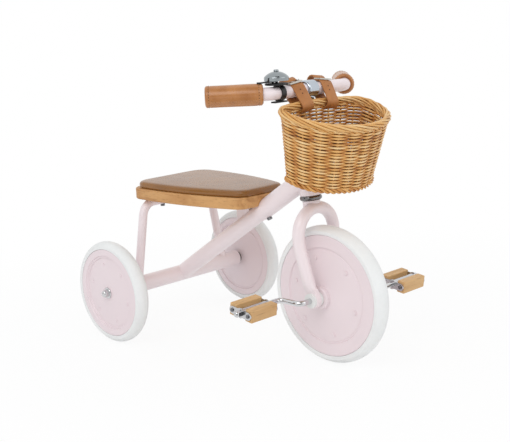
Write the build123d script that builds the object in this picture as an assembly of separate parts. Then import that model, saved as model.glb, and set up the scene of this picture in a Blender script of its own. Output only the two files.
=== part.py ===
from build123d import *
import os
from math import atan, atan2, cos, radians, sin, sqrt, tan

# Children's tricycle in millimetres: +X forward, +Y to the rider's left, +Z up.
# The origin is on the ground under the middle of the length.
# Values named AHEAD are measured forward from the rear axle, values named BEHIND back from the
# front axle, values named UP from the ground, and values named OUT sideways from the middle plane,
# or from the wheel's own middle plane.

# Wheels
WHEELBASE = 410
TRACK = 354
FRONT_R = 125
FRONT_TYRE_WIDTH = 33
FRONT_TYRE_BAND = 15
FRONT_RING_OUT = 15.5
FRONT_RING_WIDTH = 22
FRONT_CONE_FOOT_OUT = 14
FRONT_CONE_TOP_OUT = 24
FRONT_HUB_R = 20
FRONT_HUB_OUT = 33
REAR_R = 100
REAR_TYRE_WIDTH = 28
REAR_TYRE_BAND = 14
REAR_RING_OUT = 13
REAR_RING_WIDTH = 12
REAR_DISH_OUT = 8
REAR_HUB_R = 13
REAR_HUB_OUT = 13
REAR_HUB_STEP = 1
TYRE_SHOULDER = 8
TYRE_FIT = 0.1
GROOVE_WIDTH = 4
GROOVE_DEPTH = 2.5
GROOVE_SLANT = 1.5
DISC_WALL = 3.5
DISC_EDGE_ROUND = 2
HUB_WALL = 5
DISC_SCREW_COUNT = 6
DISC_SCREW_TURN = 45
DISC_SCREW_INSET = 18
DISC_BOSS_R = 4.5
DISC_SCREW_R = 1.8
DISC_SCREW_HEAD_R = 3.2
DISC_SCREW_HEAD = 1.6
DISC_SCREW_LENGTH = 24
REAR_BOSS_R = 3
REAR_BOSS_RISE = 1

# Axles and running fits
AXLE_R = 5
RUNNING_GAP = 0.05
SIDE_GAP = 0.5
THREAD_FIT = 0.05
BUSH_PLUG = 16
BUSH_FLANGE_R = 12
BUSH_FLANGE = 6
AXLE_WASHER_R = 11
AXLE_WASHER = 2
AXLE_NUT_R = 8
AXLE_NUT_HEX = 6
AXLE_NUT_DOME = 5

# Frame tubes
AXLE_TUBE_R = 16
AXLE_TUBE_OUT = 152
MAIN_TUBE_R = 15.9
TUBE_WALL = 1.6
SLEEVE_R = 18
SLEEVE_FIT = 0.1
SLEEVE_START = 292
TELESCOPE = 70
CLAMP_BOLT_INSET = 9
BOLT_R = 3
BOLT_HEAD_R = 5
BOLT_HEAD = 4
BOLT_FIT = 0.2
CLAMP_BOLT_LENGTH = 14

# Head tube and steering axis
HEAD_BEHIND = 40
HEAD_OVER_TYRE = 46
HEAD_JOINT = 38
HEAD_LEAN = 7
HEAD_TUBE_R = 19
HEAD_TUBE_WALL = 3
HEAD_TUBE_LENGTH = 78
HEADSET_RING_R = 20
HEADSET_RING = 9
HEADSET_RING_ROUND = 4
HEADSET_GAP = 0.4
HEADSET_BUSH = 16
HEADSET_BUSH_FLANGE = 4
LOCKNUT_R = 18
LOCKNUT = 10
STEERER_R = 12.7
STEERER_ABOVE_NUT = 3
QUILL_R = 11.1
QUILL_FIT = 0.1
QUILL_DEPTH = 62
WEDGE_LENGTH = 22
WEDGE_SLANT = 30

# Fork
FORK_TUBE_R = 11.1
FORK_HALF_SPAN = 46
FORK_BEHIND = 30
FORK_OVER_TYRE = 29
FORK_CROWN_FLAT = 2
FORK_KNEE_DROP = 14
FORK_KNEE_MARGIN = 1
FORK_LEG_END = 28
FORK_CRIMP = 16
FORK_TAB = 10
FORK_TAB_R = 15
FORK_TAB_ROOT_R = 13
CROWN_COLLAR_R = 16
CROWN_COLLAR = 12
BEARING_R = 9
BEARING_FLANGE_R = 13
BEARING_OUTER_FLANGE = 4

# Cranks and pedals
CRANK_THROW = 48
CRANK_ARM_OUT = 80
CRANK_BEND = 12
PEDAL_INNER_OUT = 113
PEDAL_LENGTH = 65
PEDAL_TILT = -8
PEDAL_BLOCK_WIDTH = 16
PEDAL_BLOCK_HEIGHT = 22
PEDAL_GAP = 22
PEDAL_PLATE = 2
PEDAL_PLATE_END_R = 7
PEDAL_EDGE_ROUND = 1.5
PEDAL_SLEEVE_R = 7
PEDAL_SCREW_R = 2
PEDAL_SCREW_HEAD_R = 3.6
PEDAL_SCREW_HEAD = 1.8
PEDAL_SCREW_LENGTH = 18
CAP_NUT_R = 6.5
CAP_NUT_GRIP = 7
CAP_NUT_DOME = 4.9

# Handlebar, stem and grips
BAR_BEHIND = 37
BAR_OVER_HEAD = 191
BAR_R = 11.1
BAR_CORNER_OUT = 96
BAR_SWEEP = 44
BAR_BEND = 25
GRIP_START = 11
GRIP_LENGTH = 96
GRIP_R = 18.5
GRIP_END_R = 17.2
GRIP_CLOSED_END = 4
GRIP_ROUND = 3
GRIP_FIT = 0.1
STEM_BARREL_R = 16
STEM_BARREL_LENGTH = 26
STEM_BARREL_ROUND = 3.5
STEM_ARM_R = 12.5
STEM_EAR_DROP = 29
STEM_EAR_WIDTH = 20
STEM_EAR_DEPTH = 9.5
STEM_EAR_SETBACK = 1
STEM_SLOT = 2
STEM_BOLT_DROP = 21
EXPANDER_R = 3

# Bell
BELL_CLAMP_OUT = 73
BELL_CLAMP_WIDTH = 10
BELL_CLAMP_WALL = 2.4
BELL_TONGUE = 30
BELL_OUT = 78
BELL_BASE_R = 20
BELL_BASE = 3
BELL_DOME_R = 21
BELL_DOME_RISE = 15.5
BELL_SKIRT = 6
BELL_SHOULDER_ROUND = 3
BELL_DOME_WALL = 1.2
BELL_LIFT = 7.4
BELL_POST_R = 2.5
BELL_NUT_R = 4.5
BELL_NUT = 3
BELL_NUT_ROUND = 2
LEVER_PIVOT_BACK = 9
LEVER_PIVOT_R = 2
LEVER_REACH = 31
LEVER_WIDTH = 6
LEVER_EYE_R = 4
LEVER_THICK = 2.2
LEVER_LIFT = 1.5
LEVER_PAD_R = 5

# Seat
SEAT_UP = 291
SEAT_REAR_AHEAD = -32
SEAT_FRONT_AHEAD = 250
SEAT_REAR_HALF = 93
SEAT_FRONT_HALF = 58
SEAT_SIDE_BOW = 14
SEAT_FRONT_BOW = 4
SEAT_REAR_CORNER = 28
SEAT_FRONT_CORNER = 24
PLANK = 22
PLANK_ROUND = 3
PAD_INSET = 4
PAD_AHEAD = 4
PAD_SIDE = 8
PAD_DRAW_IN = 2
PAD_SHOULDER = 3
PAD_STEPS = 3
PAD_CROWN = 2
PAD_CROWN_INSET = 34
TUBE_CHANNEL_GAP = 0.6
HOOP_R = 8.5
HOOP_WALL = 1.5
HOOP_FOOT_OUT = 115
HOOP_TOP_OUT = 87
HOOP_BEND = 28
HOOP_BOLT_OUT = 40
BRACKET_AHEAD = 200
BRACKET_LENGTH = 34
BRACKET_WIDTH = 46
BRACKET_WEB = 14
BRACKET_PLATE = 3
BRACKET_BOLT_OUT = 15
SEAT_BOLT_R = 2.5
SEAT_BOLT_HEAD_R = 4.5
SEAT_BOLT_GRIP = 14

# Basket and straps
BASKET_TILT = 17.4
RIM_BEHIND = 25
RIM_BELOW_BAR = 14.3
RIM_DEPTH = 135.3
RIM_HALF = 114.5
FOOT_BEHIND = 24
FOOT_DROP = 129.5
FOOT_DEPTH = 96
FOOT_HALF = 94
RIM_BACK_CORNER = 34
RIM_BACK_BOW = 12.5
FOOT_BACK_CORNER = 14
FOOT_BACK_BOW = 2
RIM_FRONT_CORNER = 84
RIM_FRONT_BOW = 48
FOOT_FRONT_CORNER = 58
FOOT_FRONT_BOW = 43
BASKET_WALL = 6
BASKET_ROWS = 19
WEAVE_DEPTH = 3
BASKET_FLOOR = 6
RIM_BORDER_R = 6.5
FOOT_BORDER_R = 5
STRAP_BESIDE_STEM = 8
STRAP_WIDTH = 28
STRAP_THICK = 2.4
STRAP_FIT = 0.3
STRAP_SLANT = 7
STRAP_SAG = 2
STRAP_RIM_GAP = 2.4
BUCKLE_WIDTH = 31
BUCKLE_LENGTH = 14
BUCKLE_BAR = 3
BUCKLE_THICK = 2.4
PRONG_R = 1.1

# Values that follow from the sizes above
REAR_X = -(WHEELBASE + FRONT_R - REAR_R) / 2
FRONT_X = REAR_X + WHEELBASE
REAR_AXIS = Vector(REAR_X, 0, REAR_R)
FRONT_AXIS = Vector(FRONT_X, 0, FRONT_R)
FRONT_DISC_R = FRONT_R - FRONT_TYRE_BAND
FRONT_RING_INNER_R = FRONT_DISC_R - FRONT_RING_WIDTH
REAR_DISC_R = REAR_R - REAR_TYRE_BAND
REAR_RING_INNER_R = REAR_DISC_R - REAR_RING_WIDTH
HEAD_FOOT = Vector(FRONT_X - HEAD_BEHIND, 0, 2 * FRONT_R + HEAD_OVER_TYRE)
BAR_UP = HEAD_FOOT.Z + BAR_OVER_HEAD
RIM_UP = BAR_UP - RIM_BELOW_BAR
PLANK_UP = SEAT_UP - PLANK
HOOP_UP = PLANK_UP - HOOP_R
BAR_CENTRE = Vector(FRONT_X - BAR_BEHIND, 0, BAR_UP)
STRAP_OUT = STEM_BARREL_LENGTH / 2 + STRAP_BESIDE_STEM + STRAP_WIDTH / 2
BUSH_END = AXLE_TUBE_OUT + BUSH_FLANGE
REAR_HUB_IN = TRACK / 2 - BUSH_END - SIDE_GAP
WASHER_OUT = TRACK / 2 + REAR_HUB_OUT + SIDE_GAP
NUT_OUT = WASHER_OUT + AXLE_WASHER
SIDES = {"right": -1, "left": 1}
RISING = (Align.CENTER, Align.CENTER, Align.MIN)
FALLING = (Align.CENTER, Align.CENTER, Align.MAX)
NUT_SIDES = 6


def rod(start, end, radius):
    """A round bar between two points."""
    axis = Vector(end) - Vector(start)
    return Plane(origin=start, z_dir=axis) * Cylinder(radius, axis.length, align=RISING)


def pipe(start, end, outer, inner):
    """A round tube between two points."""
    return rod(start, end, outer) - rod(start, end, inner)


def block(centre, length, width, height):
    """A box along the axes of the frame."""
    return Pos(*centre) * Box(length, width, height)


def bent(points, bends, radius):
    """A round bar along straight runs joined by tangent arcs."""
    path = FilletPolyline(*points, radius=bends)
    section = Plane(origin=path @ 0, z_dir=path % 0) * Circle(radius)
    return sweep(section, path=path)


def turned(centre, profile, rounds=()):
    """A solid of revolution about a line along Y, from points given as (sideways, radius)."""
    face = make_face(Polyline(*profile, close=True))
    for index, radius in rounds:
        corner = Vector(*profile[index])
        vertex = min(face.vertices(), key=lambda v: (Vector(*v) - corner).length)
        face = fillet(vertex, radius)
    placed = Plane(origin=centre, x_dir=(0, 1, 0), z_dir=(1, 0, 0)) * face
    return revolve(placed, axis=Axis(tuple(centre), (0, 1, 0)))


def along_head(height):
    """A point on the steering axis, measured up from the middle of the headset ring."""
    lean = radians(HEAD_LEAN)
    return HEAD_FOOT + Vector(-height * sin(lean), 0, height * cos(lean))


def main_rise():
    """The main tube's angle to the ground, from the rear axle to its joint with the head tube."""
    reach = along_head(HEAD_JOINT) - REAR_AXIS
    return atan2(reach.Z, reach.X)


def along_main(distance):
    """A point on the main tube's axis, measured from the rear axle."""
    return REAR_AXIS + Vector(distance * cos(main_rise()), 0, distance * sin(main_rise()))


def sideways(centre, out):
    """The point beside a centre, at a distance along Y."""
    return Vector(centre.X, out, centre.Z)


def main_meets_head():
    """Distance along the main tube's axis to the steering axis."""
    return (along_head(HEAD_JOINT) - REAR_AXIS).length


# Frame

def frame_tubes():
    axle_end = AXLE_TUBE_OUT
    axle_ends = (sideways(REAR_AXIS, -axle_end), sideways(REAR_AXIS, axle_end))
    axle_tube = pipe(*axle_ends, AXLE_TUBE_R, AXLE_TUBE_R - TUBE_WALL)
    main_end = along_main(SLEEVE_START + TELESCOPE)
    main_tube = pipe(REAR_AXIS, main_end, MAIN_TUBE_R, MAIN_TUBE_R - TUBE_WALL)
    main_tube -= rod(*axle_ends, AXLE_TUBE_R)
    head_ends = (along_head(head_low()), along_head(head_low() + HEAD_TUBE_LENGTH))
    head_tube = pipe(*head_ends, HEAD_TUBE_R, HEAD_TUBE_R - HEAD_TUBE_WALL)
    upper_tube = pipe(
        along_main(SLEEVE_START), along_main(main_meets_head()), SLEEVE_R, MAIN_TUBE_R + SLEEVE_FIT
    )
    upper_tube -= rod(*head_ends, HEAD_TUBE_R)
    hole = clamp_bolt_line(0, CLAMP_BOLT_LENGTH + SLEEVE_R, BOLT_R + BOLT_FIT)
    return {
        "axle_tube": axle_tube,
        "main_tube": main_tube - hole,
        "upper_tube": upper_tube - hole,
        "head_tube": head_tube,
    }


def head_low():
    """Height of the head tube's lower end on the steering axis."""
    return HEADSET_RING / 2


def clamp_bolt_line(start, end, radius):
    """A round bar square to the sleeve, at distances below its underside taken as negative."""
    inward = Vector(-sin(main_rise()), 0, cos(main_rise()))
    underside = along_main(SLEEVE_START + CLAMP_BOLT_INSET) - inward * SLEEVE_R
    return rod(underside + inward * start, underside + inward * end, radius)


def frame_clamp_bolt():
    head = clamp_bolt_line(-BOLT_HEAD, 0, BOLT_HEAD_R)
    head = chamfer(head.edges().filter_by(GeomType.CIRCLE), BOLT_HEAD / 8)
    return head + clamp_bolt_line(0, CLAMP_BOLT_LENGTH, BOLT_R)


def seat_bolt_places():
    """Where each seat bolt rises into the plank, with the height of its head's upper face."""
    places = [(REAR_X, side * HOOP_BOLT_OUT, HOOP_UP - HOOP_R) for side in SIDES.values()]
    bracket_x = REAR_X + BRACKET_AHEAD
    places += [(bracket_x, side * BRACKET_BOLT_OUT, PLANK_UP - BRACKET_PLATE) for side in SIDES.values()]
    return places


def seat_bolt_holes():
    holes = Part()
    for x, y, z in seat_bolt_places():
        top = PLANK_UP + SEAT_BOLT_GRIP + BOLT_FIT
        holes += rod((x, y, z - BOLT_HEAD), (x, y, top), SEAT_BOLT_R + BOLT_FIT)
    return holes


def seat_bolts():
    bolts = Part()
    for x, y, z in seat_bolt_places():
        bolts += rod((x, y, z - BOLT_HEAD), (x, y, z), SEAT_BOLT_HEAD_R)
        bolts += rod((x, y, z), (x, y, PLANK_UP + SEAT_BOLT_GRIP), SEAT_BOLT_R)
    return bolts


def hoop_points():
    return [
        (REAR_X, -HOOP_FOOT_OUT, REAR_R),
        (REAR_X, -HOOP_TOP_OUT, HOOP_UP),
        (REAR_X, HOOP_TOP_OUT, HOOP_UP),
        (REAR_X, HOOP_FOOT_OUT, REAR_R),
    ]


def seat_hoop():
    bends = [HOOP_BEND, HOOP_BEND]
    hoop = bent(hoop_points(), bends, HOOP_R) - bent(hoop_points(), bends, HOOP_R - HOOP_WALL)
    hoop -= rod(sideways(REAR_AXIS, -AXLE_TUBE_OUT), sideways(REAR_AXIS, AXLE_TUBE_OUT), AXLE_TUBE_R)
    return hoop - seat_bolt_holes() - seat_bolts()


def seat_bracket():
    x = REAR_X + BRACKET_AHEAD
    plate_middle = PLANK_UP - BRACKET_PLATE / 2
    plate = block((x, 0, plate_middle), BRACKET_LENGTH, BRACKET_WIDTH, BRACKET_PLATE)
    web_top = PLANK_UP - BRACKET_PLATE
    web_foot = REAR_R + (BRACKET_AHEAD - BRACKET_LENGTH) * sin(main_rise())
    web = block((x, 0, (web_top + web_foot) / 2), BRACKET_LENGTH, BRACKET_WEB, web_top - web_foot)
    tube = rod(REAR_AXIS, along_main(SLEEVE_START), MAIN_TUBE_R)
    bracket = (plate + web - tube).solids().sort_by(Axis.Z)[-1]
    return Part() + bracket - seat_bolt_holes()


def seat_outline(inset):
    """The seat's plan, drawn in by the inset all round."""
    rear = REAR_X + SEAT_REAR_AHEAD + inset
    front = REAR_X + SEAT_FRONT_AHEAD - inset
    rear_half = SEAT_REAR_HALF - inset
    front_half = SEAT_FRONT_HALF - inset
    middle = (rear + front) / 2
    bulge = (rear_half + front_half) / 2 + SEAT_SIDE_BOW
    outline = make_face(
        [
            Line((rear, -rear_half), (rear, rear_half)),
            ThreePointArc((rear, rear_half), (middle, bulge), (front, front_half)),
            ThreePointArc((front, front_half), (front + SEAT_FRONT_BOW, 0), (front, -front_half)),
            ThreePointArc((front, -front_half), (middle, -bulge), (rear, -rear_half)),
        ]
    )
    outline = fillet(outline.vertices().sort_by(Axis.X)[:2], SEAT_REAR_CORNER)
    return fillet(outline.vertices().sort_by(Axis.X)[-2:], SEAT_FRONT_CORNER)


def seat_plank():
    plank = extrude(Pos(0, 0, PLANK_UP) * seat_outline(0), amount=PLANK, dir=(0, 0, 1))
    rims = plank.faces().filter_by(Axis.Z).edges()
    plank = fillet(rims, PLANK_ROUND)
    channel = rod(REAR_AXIS, along_main(main_meets_head()), MAIN_TUBE_R + TUBE_CHANNEL_GAP)
    sleeve_end = along_main(SLEEVE_START - TUBE_CHANNEL_GAP)
    sleeve_room = rod(sleeve_end, along_main(main_meets_head()), SLEEVE_R + TUBE_CHANNEL_GAP)
    return plank - channel - sleeve_room - seat_bolt_holes()


def seat_pad():
    """A cushion with drawn-in sides, a rounded shoulder and a low crown."""
    levels = [(0, PAD_DRAW_IN), (PAD_SIDE / 2, 0)]
    for step in range(PAD_STEPS + 1):
        turn = radians(90 * step / PAD_STEPS)
        rise = PAD_SIDE + PAD_SHOULDER * sin(turn)
        levels.append((rise, PAD_DRAW_IN / 2 + PAD_SHOULDER * (1 - cos(turn))))
    levels.append((PAD_SIDE + PAD_SHOULDER + PAD_CROWN, PAD_CROWN_INSET))
    sections = []
    for height, inset in levels:
        sections.append(Pos(PAD_AHEAD, 0, SEAT_UP + height) * seat_outline(PAD_INSET + inset))
    return loft(sections, ruled=True)


# Rear axle and wheels

def rear_axle():
    reach = NUT_OUT + AXLE_NUT_HEX
    return rod(sideways(REAR_AXIS, -reach), sideways(REAR_AXIS, reach), AXLE_R)


def axle_bushes():
    bushes = Part()
    for side in SIDES.values():
        plug_end = sideways(REAR_AXIS, side * (AXLE_TUBE_OUT - BUSH_PLUG))
        face = sideways(REAR_AXIS, side * AXLE_TUBE_OUT)
        end = sideways(REAR_AXIS, side * BUSH_END)
        bush = rod(plug_end, face, AXLE_TUBE_R - TUBE_WALL - THREAD_FIT) + rod(face, end, BUSH_FLANGE_R)
        bushes += bush - rod(plug_end, end, AXLE_R + THREAD_FIT)
    return bushes


def rear_axle_washers():
    washers = Part()
    for side in SIDES.values():
        start = sideways(REAR_AXIS, side * WASHER_OUT)
        end = sideways(REAR_AXIS, side * NUT_OUT)
        washer = rod(start, end, AXLE_WASHER_R)
        outer_rim = washer.edges().filter_by(GeomType.CIRCLE).sort_by(Axis.Y)
        washer = chamfer(outer_rim[0 if side < 0 else -1], AXLE_WASHER / 2)
        washers += washer - rod(start, end, AXLE_R + THREAD_FIT)
    return washers


def acorn_nut(start, outward, radius, hexagon, dome, bore, depth):
    """A domed nut: a hexagon with a round cap and a blind hole."""
    base = Plane(origin=start, z_dir=outward)
    nut = extrude(base * RegularPolygon(radius, NUT_SIDES), amount=hexagon)
    flat = radius * cos(radians(180 / NUT_SIDES))
    slope = radians(45)
    cap_profile = make_face(
        [
            Polyline((flat, 0), (0, 0), (0, dome)),
            ThreePointArc((0, dome), (flat * cos(slope), dome * sin(slope)), (flat, 0)),
        ]
    )
    cap_plane = base.offset(hexagon)
    upright = Plane(origin=cap_plane.origin, x_dir=cap_plane.x_dir, z_dir=cap_plane.y_dir * -1)
    nut += revolve(upright * cap_profile, axis=Axis(tuple(cap_plane.origin), tuple(cap_plane.z_dir)))
    return nut - rod(start, Vector(start) + Vector(outward) * depth, bore)


def rear_axle_nuts():
    nuts = Part()
    for side in SIDES.values():
        start = sideways(REAR_AXIS, side * NUT_OUT)
        nuts += acorn_nut(
            start, (0, side, 0), AXLE_NUT_R, AXLE_NUT_HEX, AXLE_NUT_DOME, AXLE_R + THREAD_FIT, AXLE_NUT_HEX
        )
    return nuts


def tyre(centre, radius, width, seat_radius):
    half = width / 2
    shoulder = radius - TYRE_SHOULDER
    seat = seat_radius + TYRE_FIT
    face = make_face(
        [
            Polyline((half, shoulder), (half, seat), (-half, seat), (-half, shoulder)),
            ThreePointArc((-half, shoulder), (0, radius), (half, shoulder)),
        ]
    )
    seats = [v for v in face.vertices() if v.Y < (shoulder + seat) / 2]
    face = fillet(seats, DISC_EDGE_ROUND)
    placed = Plane(origin=centre, x_dir=(0, 1, 0), z_dir=(1, 0, 0)) * face
    return revolve(placed, axis=Axis(tuple(centre), (0, 1, 0)))


def disc_half(centre, side, ring_out, disc_r, ring_in_r, foot_out, top_out, hub_r, hub_out):
    """One moulded half of a wheel: a flat ring, a groove, a cone and a hub, open at the back."""
    groove_out = ring_out - GROOVE_DEPTH
    groove_low = ring_in_r - GROOVE_SLANT
    cone_r = ring_in_r - GROOVE_WIDTH
    foot_r = cone_r - GROOVE_SLANT
    core_r = AXLE_R + HUB_WALL
    bore_r = AXLE_R + RUNNING_GAP
    inner_ring_r = ring_in_r + DISC_WALL
    profile = [
        (0, disc_r),
        (ring_out, disc_r),
        (ring_out, ring_in_r),
        (groove_out, groove_low),
        (groove_out, cone_r),
        (foot_out, foot_r),
        (top_out, hub_r),
        (hub_out, hub_r),
        (hub_out, bore_r),
        (0, bore_r),
        (0, core_r),
        (top_out - DISC_WALL, core_r),
        (foot_out - DISC_WALL, foot_r),
        (groove_out - DISC_WALL, cone_r),
        (ring_out - DISC_WALL, inner_ring_r),
        (ring_out - DISC_WALL, disc_r - DISC_WALL),
        (0, disc_r - DISC_WALL),
    ]
    placed = [(side * out, radius) for out, radius in profile]
    hub_round = min(DISC_EDGE_ROUND, (hub_out - top_out) / 2)
    return turned(centre, placed, [(1, DISC_EDGE_ROUND), (7, hub_round)])


def ring_of_places(centre, radius):
    """Points at even turns round a wheel, as (ahead, up) pairs."""
    step = 360 / DISC_SCREW_COUNT
    turns = [radians(DISC_SCREW_TURN + step * index) for index in range(DISC_SCREW_COUNT)]
    return [(centre.X + radius * cos(turn), centre.Z + radius * sin(turn)) for turn in turns]


def cone_out(ring_in_r, foot_out, top_out, hub_r, radius):
    """Sideways reach of a disc's cone at a radius."""
    foot_r = ring_in_r - GROOVE_WIDTH - GROOVE_SLANT
    share = (foot_r - radius) / (foot_r - hub_r)
    return foot_out + share * (top_out - foot_out)


def front_screw_places():
    return ring_of_places(FRONT_AXIS, FRONT_RING_INNER_R - DISC_SCREW_INSET)


def front_disc(side):
    half = disc_half(
        FRONT_AXIS, side, FRONT_RING_OUT, FRONT_DISC_R, FRONT_RING_INNER_R,
        FRONT_CONE_FOOT_OUT, FRONT_CONE_TOP_OUT, FRONT_HUB_R, FRONT_HUB_OUT,
    )
    for x, z in front_screw_places():
        half += rod((x, 0, z), (x, side * front_boss_out(), z), DISC_BOSS_R)
    for x, z in front_screw_places():
        half -= rod((x, 0, z), (x, side * front_boss_out(), z), DISC_SCREW_R + BOLT_FIT)
    return half


def front_boss_out():
    """Sideways reach of the screw bosses, just above the cone around them."""
    pitch = FRONT_RING_INNER_R - DISC_SCREW_INSET
    cone = cone_out(FRONT_RING_INNER_R, FRONT_CONE_FOOT_OUT, FRONT_CONE_TOP_OUT, FRONT_HUB_R, pitch)
    return cone + DISC_SCREW_HEAD / 2


def front_disc_screws():
    screws = Part()
    head = front_boss_out()
    for x, z in front_screw_places():
        screws += rod((x, -head - DISC_SCREW_HEAD, z), (x, -head, z), DISC_SCREW_HEAD_R)
        screws += rod((x, -head, z), (x, DISC_SCREW_LENGTH - head, z), DISC_SCREW_R)
    return screws


def rear_centre(side):
    return sideways(REAR_AXIS, side * TRACK / 2)


def rear_disc_outer(side):
    """The half that shows: a dished face with small moulded bosses round it."""
    top_out = REAR_HUB_OUT - REAR_HUB_STEP
    centre = rear_centre(side)
    half = disc_half(
        centre, side, REAR_RING_OUT, REAR_DISC_R, REAR_RING_INNER_R,
        REAR_DISH_OUT, top_out, REAR_HUB_R, REAR_HUB_OUT,
    )
    pitch = REAR_RING_INNER_R - DISC_SCREW_INSET
    face = cone_out(REAR_RING_INNER_R, REAR_DISH_OUT, top_out, REAR_HUB_R, pitch)
    for x, z in ring_of_places(centre, pitch):
        foot = centre.Y + side * (face - DISC_WALL / 2)
        half += rod((x, foot, z), (x, centre.Y + side * (face + REAR_BOSS_RISE), z), REAR_BOSS_R)
    return half


def rear_disc_inner(side):
    return disc_half(
        rear_centre(side), -side, REAR_RING_OUT, REAR_DISC_R, REAR_RING_INNER_R,
        REAR_RING_OUT - GROOVE_SLANT, REAR_HUB_IN - GROOVE_SLANT, REAR_HUB_R, REAR_HUB_IN,
    )


# Fork, steering and front axle

def fork_points():
    """The corners of one fork leg's line: the tube's end, the knee and the top of the leg."""
    x = FRONT_X - FORK_BEHIND
    arch_up = 2 * FRONT_R + FORK_OVER_TYRE
    knee = Vector(x, 0, arch_up - fork_arch_bend() - FORK_KNEE_DROP)
    to_knee = (knee - FRONT_AXIS).normalized()
    return FRONT_AXIS + to_knee * FORK_LEG_END, knee, Vector(x, 0, arch_up)


def fork_arch_bend():
    return FORK_HALF_SPAN - FORK_CROWN_FLAT / 2


def fork_knee_bend():
    """The largest bend that fits between the knee and the start of the arch."""
    end, knee, _ = fork_points()
    turn = atan((end.X - knee.X) / (knee.Z - end.Z))
    return (FORK_KNEE_DROP - FORK_KNEE_MARGIN) / tan(turn / 2)


def fork_arch(radius):
    right = [sideways(point, -FORK_HALF_SPAN) for point in fork_points()]
    left = [sideways(point, FORK_HALF_SPAN) for point in reversed(fork_points())]
    bends = [fork_knee_bend(), fork_arch_bend(), fork_arch_bend(), fork_knee_bend()]
    return bent(right + left, bends, radius)


def fork_foot(side):
    """The leg's end: the tube pressed flat, then a rounded tab round the axle."""
    end, knee, _ = fork_points()
    down = (end - knee).normalized()
    start = sideways(end, side * FORK_HALF_SPAN)
    flat = start + down * FORK_CRIMP
    tube_end = Plane(origin=start, x_dir=(0, 1, 0), z_dir=down) * Circle(FORK_TUBE_R)
    flat_end = Plane(origin=flat, x_dir=(0, 1, 0), z_dir=down) * Ellipse(FORK_TAB / 2, FORK_TAB_ROOT_R)
    rounds = Pos(FRONT_X, FRONT_R) * Circle(FORK_TAB_R) + Pos(flat.X, flat.Z) * Circle(FORK_TAB_ROOT_R)
    wall = Plane(origin=(0, side * FORK_HALF_SPAN, 0), x_dir=(1, 0, 0), z_dir=(0, -1, 0))
    tab = extrude(wall * make_hull(rounds.edges()), amount=FORK_TAB / 2, both=True)
    return loft([tube_end, flat_end]) + tab


def fork():
    forks = fork_arch(FORK_TUBE_R) - fork_arch(FORK_TUBE_R - TUBE_WALL)
    for side in SIDES.values():
        forks += fork_foot(side)
        inner = sideways(FRONT_AXIS, side * (FORK_HALF_SPAN - FORK_TAB))
        outer = sideways(FRONT_AXIS, side * (FORK_HALF_SPAN + FORK_TAB))
        forks -= rod(inner, outer, BEARING_R)
    return forks


def fork_bearings():
    bearings = Part()
    for side in SIDES.values():
        inner = side * (FRONT_HUB_OUT + SIDE_GAP)
        tab_in = side * (FORK_HALF_SPAN - FORK_TAB / 2)
        tab_out = side * (FORK_HALF_SPAN + FORK_TAB / 2)
        outer = side * (FORK_HALF_SPAN + FORK_TAB / 2 + BEARING_OUTER_FLANGE)
        bearing = rod(sideways(FRONT_AXIS, inner), sideways(FRONT_AXIS, tab_in), BEARING_FLANGE_R)
        bearing += rod(sideways(FRONT_AXIS, tab_in), sideways(FRONT_AXIS, tab_out), BEARING_R)
        bearing += rod(sideways(FRONT_AXIS, tab_out), sideways(FRONT_AXIS, outer), BEARING_FLANGE_R)
        bore = rod(sideways(FRONT_AXIS, inner), sideways(FRONT_AXIS, outer), AXLE_R + RUNNING_GAP)
        bearings += bearing - bore
    return bearings


def steerer_top():
    """Height of the steerer's upper end, just above the locknut."""
    return locknut_low() + LOCKNUT + STEERER_ABOVE_NUT


def locknut_low():
    return head_low() + HEAD_TUBE_LENGTH + HEADSET_BUSH_FLANGE + HEADSET_GAP


def steerer_tube():
    collar_top = -HEADSET_RING / 2 - HEADSET_GAP
    collar_foot = collar_top - CROWN_COLLAR
    tube = rod(along_head(collar_foot), along_head(collar_top), CROWN_COLLAR_R)
    tube += rod(along_head(collar_foot), along_head(steerer_top()), STEERER_R)
    tube -= rod(along_head(collar_top), along_head(steerer_top()), QUILL_R + QUILL_FIT)
    crown = tube - fork_arch(FORK_TUBE_R)
    return Part() + crown.solids().sort_by(SortBy.VOLUME)[-1]


def headset_ring():
    ends = (along_head(-HEADSET_RING / 2), along_head(HEADSET_RING / 2))
    ring = rod(*ends, HEADSET_RING_R)
    ring = fillet(ring.edges().filter_by(GeomType.CIRCLE), HEADSET_RING_ROUND)
    return ring - rod(*ends, STEERER_R + RUNNING_GAP)


def headset_bushes():
    bore_r = HEAD_TUBE_R - HEAD_TUBE_WALL - THREAD_FIT
    low = head_low()
    top = low + HEAD_TUBE_LENGTH
    lower = rod(along_head(low), along_head(low + HEADSET_BUSH), bore_r)
    upper = rod(along_head(top - HEADSET_BUSH), along_head(top), bore_r)
    upper += rod(along_head(top), along_head(top + HEADSET_BUSH_FLANGE), HEAD_TUBE_R)
    bore = rod(along_head(low), along_head(top + HEADSET_BUSH_FLANGE), STEERER_R + RUNNING_GAP)
    return lower + upper - bore


def headset_locknut():
    base = Plane(origin=along_head(locknut_low()), z_dir=along_head(1) - along_head(0))
    nut = extrude(base * RegularPolygon(LOCKNUT_R, NUT_SIDES), amount=LOCKNUT)
    ends = (along_head(locknut_low()), along_head(locknut_low() + LOCKNUT))
    return nut - rod(*ends, STEERER_R + THREAD_FIT)


def stem_top():
    """The point on the steering axis level with the handlebar."""
    lean = radians(HEAD_LEAN)
    return along_head(BAR_OVER_HEAD / cos(lean))


def quill_foot():
    return steerer_top() - QUILL_DEPTH


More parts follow.
